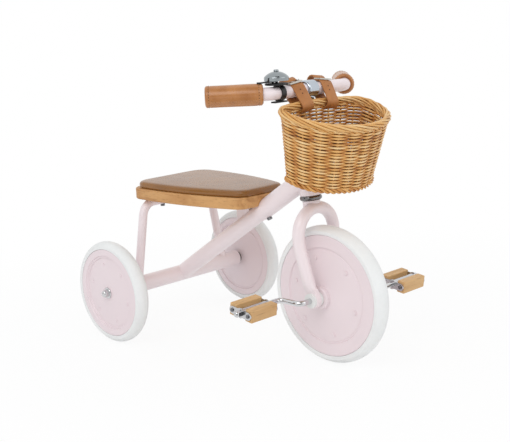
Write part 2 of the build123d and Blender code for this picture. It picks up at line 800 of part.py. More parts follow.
def stem():
    top = stem_top()
    quill = rod(along_head(quill_foot()), top, QUILL_R)
    shape = quill + Pos(*top) * Sphere(STEM_ARM_R) + rod(top, BAR_CENTRE, STEM_ARM_R)
    barrel_half = STEM_BARREL_LENGTH / 2
    ends = (sideways(BAR_CENTRE, -barrel_half), sideways(BAR_CENTRE, barrel_half))
    barrel = rod(*ends, STEM_BARREL_R)
    shape += fillet(barrel.edges().filter_by(GeomType.CIRCLE), STEM_BARREL_ROUND)
    ear_centre = BAR_CENTRE - Vector(STEM_EAR_SETBACK, 0, STEM_EAR_DROP / 2)
    shape += block(ear_centre, STEM_EAR_DEPTH, STEM_EAR_WIDTH, STEM_EAR_DROP)
    shape -= rod(sideways(BAR_CENTRE, -barrel_half), sideways(BAR_CENTRE, barrel_half), BAR_R + QUILL_FIT)
    shape -= block(ear_centre, STEM_SLOT, STEM_BARREL_LENGTH, STEM_EAR_DROP)
    shape -= stem_bolt_line(-STEM_EAR_DEPTH, STEM_EAR_DEPTH, BOLT_R + BOLT_FIT)
    shape -= rod(along_head(quill_foot()), stem_cap(), EXPANDER_R + BOLT_FIT)
    below = wedge_plane() * Box(4 * QUILL_R, 4 * QUILL_R, 4 * QUILL_R, align=FALLING)
    return shape - below


def stem_cap():
    """The top of the stem, where the expander bolt's head sits."""
    return stem_top() + (along_head(1) - along_head(0)) * STEM_ARM_R


def wedge_plane():
    """The slanting cut between the quill's foot and its wedge."""
    tilt = radians(WEDGE_SLANT)
    up = along_head(1) - along_head(0)
    slanted = up * cos(tilt) + Vector(up.Z, 0, -up.X) * sin(tilt)
    return Plane(origin=along_head(quill_foot() + QUILL_R), z_dir=slanted)


def stem_wedge():
    middle = quill_foot() + QUILL_R
    wedge = rod(along_head(middle - WEDGE_LENGTH), along_head(middle + QUILL_R), QUILL_R)
    above = wedge_plane().offset(-SIDE_GAP) * Box(4 * QUILL_R, 4 * QUILL_R, 4 * QUILL_R, align=RISING)
    return wedge - above - rod(along_head(0), stem_cap(), EXPANDER_R + THREAD_FIT)


def stem_expander_bolt():
    up = along_head(1) - along_head(0)
    head_top = stem_cap() + up * BOLT_HEAD
    foot = along_head(quill_foot() + QUILL_R - WEDGE_LENGTH + BOLT_HEAD)
    bolt = rod(foot, stem_cap(), EXPANDER_R)
    return bolt + rod(stem_cap(), head_top, BOLT_HEAD_R)


def stem_bolt_line(start, end, radius):
    """A round bar across the stem's ears, at distances ahead of the slot."""
    middle = BAR_CENTRE - Vector(STEM_EAR_SETBACK, 0, STEM_BOLT_DROP)
    return rod(middle + Vector(start, 0, 0), middle + Vector(end, 0, 0), radius)


def stem_clamp_bolt():
    half = STEM_EAR_DEPTH / 2
    bolt = stem_bolt_line(-half - BOLT_HEAD, -half, BOLT_HEAD_R)
    bolt += stem_bolt_line(-half, half, BOLT_R)
    nut_foot = BAR_CENTRE + Vector(half - STEM_EAR_SETBACK, 0, -STEM_BOLT_DROP)
    nut_plane = Plane(origin=nut_foot, z_dir=(1, 0, 0))
    return bolt + extrude(nut_plane * RegularPolygon(BOLT_HEAD_R, NUT_SIDES), amount=BOLT_HEAD)


def bar_point(side, distance):
    """A point on the swept part of the handlebar, measured from its corner."""
    sweep_angle = radians(BAR_SWEEP)
    corner = sideways(BAR_CENTRE, side * BAR_CORNER_OUT)
    return corner + Vector(-distance * sin(sweep_angle), side * distance * cos(sweep_angle), 0)


def handlebar():
    end = GRIP_START + GRIP_LENGTH - GRIP_CLOSED_END
    points = [bar_point(-1, end), bar_point(-1, 0), bar_point(1, 0), bar_point(1, end)]
    return bent(points, [BAR_BEND, BAR_BEND], BAR_R) - bent(points, [BAR_BEND, BAR_BEND], BAR_R - TUBE_WALL)


def grip(side):
    start = bar_point(side, GRIP_START)
    outward = (bar_point(side, GRIP_LENGTH) - bar_point(side, 0)).normalized()
    profile = make_face(
        [
            Polyline((GRIP_END_R, 0), (0, 0), (0, GRIP_LENGTH), (GRIP_END_R, GRIP_LENGTH)),
            ThreePointArc((GRIP_END_R, GRIP_LENGTH), (GRIP_R, GRIP_LENGTH / 2), (GRIP_END_R, 0)),
        ]
    )
    rims = [v for v in profile.vertices() if v.X > GRIP_END_R / 2]
    profile = fillet(rims, GRIP_ROUND)
    upright = Plane(origin=start, x_dir=(0, 0, 1), z_dir=outward.cross(Vector(0, 0, 1)) * -1)
    body = revolve(upright * profile, axis=Axis(tuple(start), tuple(outward)))
    bore_end = bar_point(side, GRIP_START + GRIP_LENGTH - GRIP_CLOSED_END)
    bend_room = bar_point(side, GRIP_START - GRIP_ROUND)
    return body - rod(bend_room, bore_end, BAR_R + GRIP_FIT)


def crank_axle():
    pedal_end = PEDAL_INNER_OUT + PEDAL_LENGTH + CAP_NUT_GRIP
    points = [
        (FRONT_X - CRANK_THROW, -pedal_end, FRONT_R),
        (FRONT_X - CRANK_THROW, -CRANK_ARM_OUT, FRONT_R),
        (FRONT_X, -CRANK_ARM_OUT, FRONT_R),
        (FRONT_X, CRANK_ARM_OUT, FRONT_R),
        (FRONT_X + CRANK_THROW, CRANK_ARM_OUT, FRONT_R),
        (FRONT_X + CRANK_THROW, pedal_end, FRONT_R),
    ]
    return bent(points, [CRANK_BEND] * 4, AXLE_R)


# Pedals

def pedal_centre(side):
    """The middle of a pedal; the right crank points back and the left one forward."""
    return Vector(FRONT_X + side * CRANK_THROW, side * (PEDAL_INNER_OUT + PEDAL_LENGTH / 2), FRONT_R)


def pedal_plane(side):
    tilt = radians(-PEDAL_TILT)
    return Plane(origin=pedal_centre(side), x_dir=(cos(tilt), 0, -sin(tilt)), z_dir=(sin(tilt), 0, cos(tilt)))


def pedal_block_offset():
    return (PEDAL_GAP + PEDAL_BLOCK_WIDTH) / 2


def pedal_screw_holes(side, radius):
    holes = Part()
    for ahead in (-pedal_block_offset(), pedal_block_offset()):
        hole = Pos(ahead, 0, 0) * Rot(90, 0, 0) * Cylinder(radius, PEDAL_LENGTH)
        holes += pedal_plane(side) * hole
    return holes


def pedal_blocks(side):
    length = PEDAL_LENGTH - 2 * PEDAL_PLATE
    blocks = Part()
    for ahead in (-pedal_block_offset(), pedal_block_offset()):
        wood = Box(PEDAL_BLOCK_WIDTH, length, PEDAL_BLOCK_HEIGHT)
        wood = fillet(wood.edges(), PEDAL_EDGE_ROUND)
        blocks += pedal_plane(side) * (Pos(ahead, 0, 0) * wood)
    return blocks - pedal_screw_holes(side, PEDAL_SCREW_R + BOLT_FIT)


def pedal_plates(side):
    """A dog-bone plate on each end of the pedal, carrying the sleeve and the blocks."""
    plates = Part()
    for outward in (-1, 1):
        middle = outward * (PEDAL_LENGTH - PEDAL_PLATE) / 2
        plan = Rectangle(2 * pedal_block_offset(), PEDAL_SLEEVE_R * 2) + Circle(PEDAL_SLEEVE_R + PEDAL_PLATE)
        for ahead in (-pedal_block_offset(), pedal_block_offset()):
            plan += Pos(ahead, 0) * Circle(PEDAL_PLATE_END_R)
        flat = Plane(origin=(0, middle, 0), x_dir=(1, 0, 0), z_dir=(0, -1, 0))
        plates += pedal_plane(side) * extrude(flat * plan, amount=PEDAL_PLATE / 2, both=True)
    plates -= pedal_plane(side) * (Rot(90, 0, 0) * Cylinder(PEDAL_SLEEVE_R + THREAD_FIT, PEDAL_LENGTH))
    return plates - pedal_screw_holes(side, PEDAL_SCREW_R + BOLT_FIT)


def pedal_sleeve(side):
    sleeve = Cylinder(PEDAL_SLEEVE_R, PEDAL_LENGTH) - Cylinder(AXLE_R + RUNNING_GAP, PEDAL_LENGTH)
    return pedal_plane(side) * (Rot(90, 0, 0) * sleeve)


def pedal_screws(side):
    screws = Part()
    for ahead in (-pedal_block_offset(), pedal_block_offset()):
        for outward in (-1, 1):
            face = outward * PEDAL_LENGTH / 2
            head = rod((ahead, face, 0), (ahead, face + outward * PEDAL_SCREW_HEAD, 0), PEDAL_SCREW_HEAD_R)
            head = chamfer(head.edges().filter_by(GeomType.CIRCLE), PEDAL_SCREW_HEAD / 4)
            shank = rod((ahead, face, 0), (ahead, face - outward * PEDAL_SCREW_LENGTH, 0), PEDAL_SCREW_R)
            screws += pedal_plane(side) * (head + shank)
    return screws


def pedal_cap_nuts():
    nuts = Part()
    for side in SIDES.values():
        centre = pedal_centre(side)
        out = side * (PEDAL_INNER_OUT + PEDAL_LENGTH + SIDE_GAP)
        start = sideways(centre, out)
        nuts += acorn_nut(
            start, (0, side, 0), CAP_NUT_R, CAP_NUT_GRIP, CAP_NUT_DOME, AXLE_R + THREAD_FIT,
            CAP_NUT_GRIP - SIDE_GAP,
        )
    return nuts


# Bell

def bell_seat_up():
    """Height of the bell base's underside, on top of the clamp band."""
    return BAR_UP + BAR_R + QUILL_FIT + BELL_CLAMP_WALL


def bell_point(ahead, out, rise):
    return BAR_CENTRE + Vector(ahead, -out, bell_seat_up() - BAR_UP + rise)


def bell_clamp():
    outer = BAR_R + QUILL_FIT + BELL_CLAMP_WALL
    low = sideways(BAR_CENTRE, -BELL_CLAMP_OUT - BELL_CLAMP_WIDTH / 2)
    high = sideways(BAR_CENTRE, -BELL_CLAMP_OUT + BELL_CLAMP_WIDTH / 2)
    band = rod(low, high, outer)
    tongue_up = BAR_UP - outer - BELL_CLAMP_WALL / 2
    tongue = block((BAR_CENTRE.X, -BELL_CLAMP_OUT, tongue_up), BELL_CLAMP_WIDTH, BELL_TONGUE, BELL_CLAMP_WALL)
    riser_height = BELL_CLAMP_WALL + BELL_CLAMP_WIDTH / 2
    riser = block(
        (BAR_CENTRE.X, -BELL_CLAMP_OUT, bell_seat_up() - riser_height / 2),
        BELL_CLAMP_WIDTH, BELL_CLAMP_WIDTH, riser_height,
    )
    return band + tongue + riser - rod(low, high, BAR_R + QUILL_FIT)


def bell_base():
    base = rod(bell_point(0, BELL_OUT, 0), bell_point(0, BELL_OUT, BELL_BASE), BELL_BASE_R)
    base = fillet(base.edges().filter_by(GeomType.CIRCLE).sort_by(Axis.Z)[0], BELL_BASE / 3)
    base += rod(bell_point(0, BELL_OUT, BELL_BASE), bell_point(0, BELL_OUT, bell_dome_top()), BELL_POST_R)
    pivot = (-LEVER_PIVOT_BACK, BELL_OUT)
    base += rod(
        bell_point(*pivot, BELL_BASE), bell_point(*pivot, BELL_BASE + LEVER_LIFT + LEVER_THICK), LEVER_PIVOT_R
    )
    return base


def bell_dome_top():
    return BELL_LIFT + BELL_DOME_RISE


def bell_cap(wall):
    """The bell's shape on its mouth, drawn in by a wall: a short skirt and a low dome."""
    crown = BELL_DOME_RISE - BELL_SKIRT
    ball_r = (BELL_DOME_R**2 + crown**2) / (2 * crown)
    skirt = Cylinder(BELL_DOME_R - wall, BELL_DOME_RISE, align=RISING)
    cap = skirt & Pos(0, 0, BELL_DOME_RISE - ball_r) * Sphere(ball_r - wall)
    rims = cap.edges().filter_by(lambda edge: edge.is_closed).sort_by(Axis.Z)
    return fillet(rims[-1], BELL_SHOULDER_ROUND - wall)


def bell_dome():
    mouth = bell_point(0, BELL_OUT, BELL_LIFT)
    post = rod(mouth, bell_point(0, BELL_OUT, bell_dome_top()), BELL_POST_R + BOLT_FIT)
    return Pos(*mouth) * (bell_cap(0) - bell_cap(BELL_DOME_WALL)) - post


def bell_nut():
    start = bell_point(0, BELL_OUT, bell_dome_top())
    nut = rod(start, bell_point(0, BELL_OUT, bell_dome_top() + BELL_NUT), BELL_NUT_R)
    return fillet(nut.edges().filter_by(GeomType.CIRCLE).sort_by(Axis.Z)[-1], BELL_NUT_ROUND)


def bell_lever():
    low = BELL_BASE + LEVER_LIFT
    pivot = bell_point(-LEVER_PIVOT_BACK, BELL_OUT, low)
    tip = bell_point(-LEVER_PIVOT_BACK, BELL_OUT + LEVER_REACH, low)
    rise = Vector(0, 0, LEVER_THICK)
    arm = rod(pivot, pivot + rise, LEVER_EYE_R)
    middle = (pivot + tip + rise) / 2
    arm += block(middle, LEVER_WIDTH, LEVER_REACH, LEVER_THICK)
    arm += rod(tip, tip + rise, LEVER_PAD_R)
    return arm - rod(pivot, pivot + rise, LEVER_PIVOT_R + RUNNING_GAP)


# Basket and straps

def basket_plane(behind, up):
    """A level of the basket, with its origin in the middle of the back."""
    tilt = radians(BASKET_TILT)
    origin = (FRONT_X - behind, 0, up)
    return Plane(origin=origin, x_dir=(cos(tilt), 0, -sin(tilt)), z_dir=(sin(tilt), 0, cos(tilt)))


def rim_plane():
    return basket_plane(RIM_BEHIND, RIM_UP).offset(-RIM_BORDER_R)


def foot_plane():
    return basket_plane(FOOT_BEHIND, RIM_UP - FOOT_DROP)


def basket_plan(depth, half, back_corner, back_bow, front_corner, front_bow, inset):
    """A bowed back and front with rounded corners between, drawn in by the inset."""
    back = inset
    front = depth - inset
    side = half - inset
    heel = back + back_bow
    shoulder = front - front_bow
    plan = make_face(
        [
            Line((shoulder, side), (heel, side)),
            ThreePointArc((heel, side), (back, 0), (heel, -side)),
            Line((heel, -side), (shoulder, -side)),
            ThreePointArc((shoulder, -side), (front, 0), (shoulder, side)),
        ]
    )
    rear = plan.vertices().sort_by(Axis.X)[:2]
    plan = fillet(rear, back_corner - inset)
    return fillet(plan.vertices().sort_by(Axis.X)[-2:], front_corner - inset)


def basket_level(share, inset):
    """The basket's plan, drawn in by the inset, at a share of the way from its foot to its rim."""
    sizes = []
    for low, high in (
        (FOOT_DEPTH, RIM_DEPTH),
        (FOOT_HALF, RIM_HALF),
        (FOOT_BACK_CORNER, RIM_BACK_CORNER),
        (FOOT_BACK_BOW, RIM_BACK_BOW),
        (FOOT_FRONT_CORNER, RIM_FRONT_CORNER),
        (FOOT_FRONT_BOW, RIM_FRONT_BOW),
    ):
        sizes.append(low + share * (high - low))
    return basket_plan(*sizes, inset)


def rim_plan(inset):
    return basket_level(1, inset)


def foot_plan(inset):
    return basket_level(0, inset)


def rim_back_set(out):
    """How far the rim's bowed back comes forward at a distance from its middle."""
    half = RIM_HALF - RIM_BORDER_R
    radius = (half**2 + RIM_BACK_BOW**2) / (2 * RIM_BACK_BOW)
    return radius - sqrt(radius**2 - out**2)


def border(plane, plan, radius):
    """A round border along a plan's edge."""
    path = (plane * plan).faces()[0].outer_wire()
    section = Plane(origin=path @ 0, z_dir=path % 0) * Circle(radius)
    return sweep(section, path=path)


def woven_level(share, inset):
    """The basket's plan, set in its place between the foot and the rim."""
    foot = foot_plane()
    rise = rim_plane().origin - foot.origin
    level = Plane(origin=foot.origin + rise * share, x_dir=foot.x_dir, z_dir=foot.z_dir)
    return level * basket_level(share, inset)


def woven_wall(wall_in):
    """The wall's outside, filled in: a rib for each woven row, with a groove below and above it."""
    groove_in = wall_in + WEAVE_DEPTH / 2
    rib_in = wall_in - WEAVE_DEPTH / 2
    levels = [woven_level(0, groove_in)]
    for row in range(BASKET_ROWS):
        levels.append(woven_level((row + 0.5) / BASKET_ROWS, rib_in))
        levels.append(woven_level((row + 1) / BASKET_ROWS, groove_in))
    return loft(levels, ruled=True)


def basket():
    rim = rim_plane()
    foot = foot_plane()
    wall_in = RIM_BORDER_R - BASKET_WALL / 2
    shell = woven_wall(wall_in)
    room_in = wall_in + BASKET_WALL
    room_foot = foot.offset(BASKET_FLOOR)
    shell -= loft([room_foot * foot_plan(room_in), rim * rim_plan(room_in)])
    shell += border(rim, rim_plan(RIM_BORDER_R), RIM_BORDER_R)
    shell += border(foot.offset(FOOT_BORDER_R), foot_plan(FOOT_BORDER_R), FOOT_BORDER_R)
    for side in SIDES.values():
        shell -= strap_loop(side, STRAP_FIT)
    return shell


def strap_frame(side):
    """The plane of a strap's loop, leaning in towards the basket."""
    lean = radians(side * STRAP_SLANT)
    centre = sideways(BAR_CENTRE, side * STRAP_OUT)
    return Plane(origin=centre, x_dir=(1, 0, 0), z_dir=(0, -cos(lean), sin(lean)))


def strap_hull(spread):
    """The belt round the bar and the basket's rim, in the loop's own plane."""
    lean = radians(STRAP_SLANT)
    rim_back = rim_plane().from_local_coords(Vector(RIM_BORDER_R + rim_back_set(STRAP_OUT), 0, 0))
    drop = (BAR_UP - rim_back.Z + STRAP_SAG) / cos(lean)
    low = Pos(rim_back.X - BAR_CENTRE.X, -drop) * Circle(RIM_BORDER_R + STRAP_RIM_GAP + spread)
    rounds = Circle(BAR_R + STRAP_FIT + spread) + low
    return make_hull(rounds.edges())


def strap_loop(side, room):
    plan = strap_hull(STRAP_THICK + room) - strap_hull(-room)
    return extrude(strap_frame(side) * plan, amount=STRAP_WIDTH / 2 + room, both=True)


def strap(side):
    band = strap_loop(side, 0)
    reach = 2 * STRAP_WIDTH
    inner = sideways(BAR_CENTRE, side * (STRAP_OUT - reach))
    outer = sideways(BAR_CENTRE, side * (STRAP_OUT + reach))
    return band - rod(inner, outer, BAR_R + STRAP_FIT / 2)


def buckle(side):
    """A rectangular frame with a prong, lying on the strap above the bar."""
    seat = strap_frame(side)
    rise = BAR_R + STRAP_FIT + STRAP_THICK + BUCKLE_THICK / 2
    ring = Box(BUCKLE_LENGTH, BUCKLE_THICK, BUCKLE_WIDTH)
    ring = fillet(ring.edges().filter_by(Axis.Y), BUCKLE_BAR / 2)
    ring -= Box(BUCKLE_LENGTH - 2 * BUCKLE_BAR, BUCKLE_THICK, BUCKLE_WIDTH - 2 * BUCKLE_BAR)
    prong = rod((-BUCKLE_LENGTH / 2, 0, 0), (BUCKLE_LENGTH / 2, 0, 0), PRONG_R)
    return seat * (Pos(0, rise, 0) * (ring + prong))


def pieces():
    nodes = frame_tubes()
    nodes["seat_hoop"] = seat_hoop()
    nodes["seat_bracket"] = seat_bracket()
    nodes["seat_plank"] = seat_plank()
    nodes["seat_pad"] = seat_pad()
    nodes["seat_bolts"] = seat_bolts()
    nodes["frame_clamp_bolt"] = frame_clamp_bolt()
    nodes["rear_axle"] = rear_axle()
    nodes["axle_bushes"] = axle_bushes()
    nodes["rear_axle_washers"] = rear_axle_washers()
    nodes["rear_axle_nuts"] = rear_axle_nuts()
    nodes["headset_ring"] = headset_ring()
    nodes["headset_bushes"] = headset_bushes()
    nodes["headset_locknut"] = headset_locknut()
    nodes["fork"] = fork()
    nodes["fork_bearings"] = fork_bearings()
    nodes["steerer_tube"] = steerer_tube()
    nodes["stem"] = stem()
    nodes["stem_wedge"] = stem_wedge()
    nodes["stem_expander_bolt"] = stem_expander_bolt()
    nodes["stem_clamp_bolt"] = stem_clamp_bolt()
    nodes["handlebar"] = handlebar()
    nodes["bell_clamp"] = bell_clamp()
    nodes["bell_base"] = bell_base()
    nodes["bell_dome"] = bell_dome()
    nodes["bell_nut"] = bell_nut()
    nodes["bell_lever"] = bell_lever()
    nodes["basket"] = basket()
    nodes["front_tyre"] = tyre(FRONT_AXIS, FRONT_R, FRONT_TYRE_WIDTH, FRONT_DISC_R)
    nodes["front_disc_screws"] = front_disc_screws()
    nodes["crank_axle"] = crank_axle()
    nodes["pedal_cap_nuts"] = pedal_cap_nuts()
    for name, side in SIDES.items():
        nodes[name + "_grip"] = grip(side)
        nodes[name + "_strap"] = strap(side)
        nodes[name + "_buckle"] = buckle(side)
        nodes["front_disc_" + name] = front_disc(side)
        nodes[name + "_rear_tyre"] = tyre(rear_centre(side), REAR_R, REAR_TYRE_WIDTH, REAR_DISC_R)
        nodes[name + "_rear_disc_outer"] = rear_disc_outer(side)
        nodes[name + "_rear_disc_inner"] = rear_disc_inner(side)
        nodes[name + "_pedal_blocks"] = pedal_blocks(side)
        nodes[name + "_pedal_plates"] = pedal_plates(side)
        nodes[name + "_pedal_sleeve"] = pedal_sleeve(side)
        nodes[name + "_pedal_screws"] = pedal_screws(side)
    return nodes


os.makedirs("parts", exist_ok=True)
for node, shape in pieces().items():
    export_step(shape, "parts/" + node + ".step")
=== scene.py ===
import math
import random

import bmesh
import bpy
from mathutils import Matrix, Vector


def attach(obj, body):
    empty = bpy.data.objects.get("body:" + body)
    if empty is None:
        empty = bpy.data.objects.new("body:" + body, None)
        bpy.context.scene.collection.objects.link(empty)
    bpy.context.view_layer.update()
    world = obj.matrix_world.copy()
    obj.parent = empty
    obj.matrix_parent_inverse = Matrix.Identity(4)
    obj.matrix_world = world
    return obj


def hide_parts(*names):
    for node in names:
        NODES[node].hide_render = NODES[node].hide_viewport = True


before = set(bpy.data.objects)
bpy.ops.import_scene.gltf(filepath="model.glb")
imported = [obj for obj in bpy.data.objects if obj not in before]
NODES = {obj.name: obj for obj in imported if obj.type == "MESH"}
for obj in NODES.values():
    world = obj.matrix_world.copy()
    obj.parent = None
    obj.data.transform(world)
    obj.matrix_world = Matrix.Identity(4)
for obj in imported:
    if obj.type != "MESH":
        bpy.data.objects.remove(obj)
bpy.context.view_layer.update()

MM = 0.001

# Sizes are in millimetres. x runs forward from the tricycle's middle and z up from the ground.
REAR_X = -217.5
BAR_AHEAD = 373
BAR_UP = 487
BAR_CORNER_OUT = 96
BAR_SWEEP = math.radians(44)

# The basket leans forward and widens from its foot to its rim. Each plan gives its depth, half width,
# back corner, back bow, front corner and front bow.
BASKET_TILT = math.radians(17.4)
FOOT_AHEAD = 386
FOOT_UP = 343.2
RIM_AHEAD = 385
RIM_UP = 472.7
FOOT_SIZES = (96, 94, 14, 2, 58, 43)
RIM_SIZES = (135.3, 114.5, 34, 12.5, 84, 48)
WALL_INSET = 6.5
PLAN_STEPS = 16

# The weave: upright stakes, and rows of rods that pass outside one stake and inside the next. Levels run
# from 0 at the foot to 1 at the rim.
STAKES = 18
STAKE_POINTS = 10
STAKE_START = 0.03
STAKE_SPAN = 0.95
STAKE_STEPS = 8
STAKE_SIZE = (1.5, 1.7)
# The stakes' tones vary at random and sit lower than the rods': painted shade where the stakes show between
# the rods.
STAKE_TONES_AND_SHADE = (0.3, 0.8)
ROWS = 38
ROW_START = 0.075
ROW_SPAN = 0.865
ROD_SWING = 2.1
ROD_LIFT = 0.45
ROD_DEPTH = 1.6
ROD_HEIGHT = 1.55
ROD_BELLY = 0.6
ROD_UNEVEN = 0.13
ROD_SIDES = 6
ROD_LIFT_RUN = 12
ROD_SIZE_RUN = 20
ROD_TONE_RUN = 16
ROD_TONES = (0.78, 1.12)
ROD_TONE_DRIFT = 0.2
# Painted shade: how much darker a woven rod is made on its side that faces into the wall.
WEAVE_PAINTED_SHADE = 0.95
RIM_ROPE = dict(level=1.0, inset=WALL_INSET, rise=0.0, strands=6, spread=4.5, radius=2.0, turns=4, count=360)
FOOT_ROPE = dict(level=0.0, inset=5.0, rise=5.0, strands=3, spread=2.7, radius=2.2, turns=14, count=480)
WALE_ROPE = dict(level=0.95, inset=6.0, rise=0.0, strands=3, spread=2.2, radius=1.7, turns=15, count=360)
ROPE_UNEVEN = 0.12
ROPE_SIZE_RUN = 30
ROPE_TONE_RUN = 40
ROPE_TONES = (0.42, 0.92)
ROPE_TONE_DRIFT = 0.18
RIM_CORE_R = 3.6
RIM_CORE_POINTS = 120
# Painted shade: the rim's core is almost the darkest willow tone, showing between the rope's strands.
RIM_CORE_SHADE_TONE = 0.05
ROD_SEED = 7
FIBRE_SEED = 11
FIBRE_SHIFT = 7

# The basket's floor: rods across, woven over and under sticks that run forward.
FLOOR_LEVEL = 0.04
FLOOR_INSET = 8.0
FLOOR_RISE = 4.5
FLOOR_START = 9
FLOOR_PITCH = 4.6
FLOOR_LEAST_REACH = 12
FLOOR_STEP = 4
FLOOR_LEAST_STEPS = 6
FLOOR_SWING = 1.5
FLOOR_ROD_SIZE = (1.7, 2.5)
FLOOR_ROD_TONES = (0.3, 0.85)
STICK_REACH = 72
STICK_PITCH = 18
STICK_START = 8
STICK_STEP = 2
STICK_MARGIN = 2
STICK_SIZE = (1.6, 2.2)
STICK_TONES = (0.3, 0.7)

# The pad follows the seat's plan. Its profile gives an inset and a height for each level, and the crown
# rises from the last one.
SEAT_TOP = 291
SEAT_BEHIND = 32
SEAT_AHEAD = 250
SEAT_REAR_HALF = 93
SEAT_FRONT_HALF = 58
SEAT_SIDE_BULGE = 14
SEAT_NOSE = 4
SEAT_REAR_CORNER = 28
SEAT_FRONT_CORNER = 24
SEAT_CORNER_STEPS = 14
SEAT_SIDE_STEPS = 40
SEAT_NOSE_STEPS = 12
PAD_AHEAD = 4
PAD_POINTS = 220
PAD_PROFILE = [(6.6, 0.05), (6.2, 0.6), (4.9, 1.8), (4.2, 3.8), (4.0, 6.2), (4.2, 8.4), (4.9, 10.2),
               (6.1, 11.6), (8.0, 12.5), (11.0, 13.05)]
PAD_CROWN = 1.1
PAD_CROWN_POWER = 0.8
PAD_CROWN_SHARES = (0.93, 0.85, 0.74, 0.6, 0.45, 0.3, 0.15)
PAD_DENT = 0.12
PAD_DENT_ALONG = 0.05
PAD_DENT_ACROSS = 0.06
PAD_DENT_START = 1.1

# The grips: leather sewn round the bar's ends, with stitches at both ends and along a seam.
GRIP_LENGTH = 96.0
GRIP_START = 11
GRIP_R = 18.1
GRIP_POINTS = 72
GRIP_END_RUNS = [0, 0.4, 1, 2, 3.2, 4.6, 6, 7, 8, 9.6]
GRIP_MIDDLE_START = 12
GRIP_MIDDLE_STEP = 4
GRIP_MIDDLE_RINGS = 19
GRIP_SWELL = 0.25
GRIP_WAVE = 0.2
GRIP_WAVES = 2.2
GRIP_WAVE_START = 0.4
GRIP_EDGE = 2.6
GRIP_EDGE_RUN = 3.0
GRIP_PUCKER = 0.35
GRIP_PUCKER_AT = 7.0
GRIP_PUCKER_RUN = 2.2
GRIP_INNER_HOLE_R = 11.25
GRIP_INNER_DEPTH = 3.0
GRIP_OUTER_HOLE_R = 9.0
GRIP_OUTER_DEPTH = 1.2
GRIP_ROLL = ((0.88, -0.2), (0.75, 0.0), (0.0, 0.4), (0.0, 1.0))
SEAM_TURN = -0.5
SEAM_START = 11
SEAM_PITCH = 4.1
SEAM_STITCHES = 19
SEAM_STITCH = 4.4
SEAM_SLANT = 0.3
SEAM_HOLE_TURN = 0.15
SEAM_RIDGE = 0.55
SEAM_RIDGE_TURN = 0.14
SEAM_GROOVE = 0.75
SEAM_GROOVE_TURN = 0.045
END_STITCH_AT = 6.2
END_STITCHES = 24
END_STITCH = 2.4
STITCH_R = 0.5
STITCH_BOW = 0.35
STITCH_TAPER = 1.6
STITCH_STEPS = 4
STITCH_SIDES = 6
STITCH_TONE = 0.6
STITCH_TURN_R = 18.0
STITCH_HOLE_R = 0.75
STITCH_HOLE_RISES = (-0.3, 0.12)
STITCH_HOLE_SIDES = 8

# The straps: a belt round the bar and round a loop below and ahead of it, with a free end that curls over.
STRAP_OUT = 35
STRAP_LEAN = math.radians(7)
STRAP_BAR_R = 12.6
STRAP_LOOP_R = 10.1
STRAP_LOOP_AHEAD = 17.5
STRAP_LOOP_DROP = 25.02
STRAP_BAR_STEPS = 28
STRAP_LOOP_STEPS = 20
STRAP_POINTS = 120
STRAP_HALF = 14.0
STRAP_HALF_THICK = 1.2
STRAP_ROUND = 0.55
STRAP_GROOVE_IN = 2.0
STRAP_GROOVE_HALF = 0.4
STRAP_GROOVE_DEPTH = 0.25
STRAP_HOLES = (109, 116)
STRAP_HOLE_R = 1.3
STRAP_HOLE_RISES = (0.9, STRAP_HALF_THICK + 0.06)
STRAP_HOLE_SIDES = 12
STRAP_TAIL = [(-5.5, 15.2), (-9.5, 18.6), (-14.0, 20.2), (-18.5, 19.0), (-22.0, 15.4), (-24.0, 10.6)]

# The studio, in metres.
FLOOR_HALF = 14
FLOOR_DROP = 0.0004
CARD_HALF = 0.5
FLOOR_FADE = {"From Min": 0.35, "From Max": 1.1, "To Min": 0.9, "To Max": 1.0}
WORLD_LIGHT = 0.76
CAMERA_PLACE = (1.3180, -1.26214, 0.62319)
CAMERA_TURN = math.radians(136.09)
CAMERA_DOWN = math.radians(12.02)
CAMERA_ROLL = math.radians(-2.69)
CAMERA_FOCAL_PX = 985.08
CAMERA_WIDTH_PX = 510
CAMERA_SENSOR = 36.0
CAMERA_CLIP = (0.05, 60)


def lin(r, g, b):
    """Display colour 0-255 to the linear colour that a shader takes."""
    def one(v):
        v /= 255
        return v / 12.92 if v <= 0.04045 else ((v + 0.055) / 1.055) ** 2.4
    return (one(r), one(g), one(b), 1.0)


def grey(v):
    return (v, v, v, 1.0)


def shade(colour, k):
    return (colour[0] * k, colour[1] * k, colour[2] * k, 1.0)


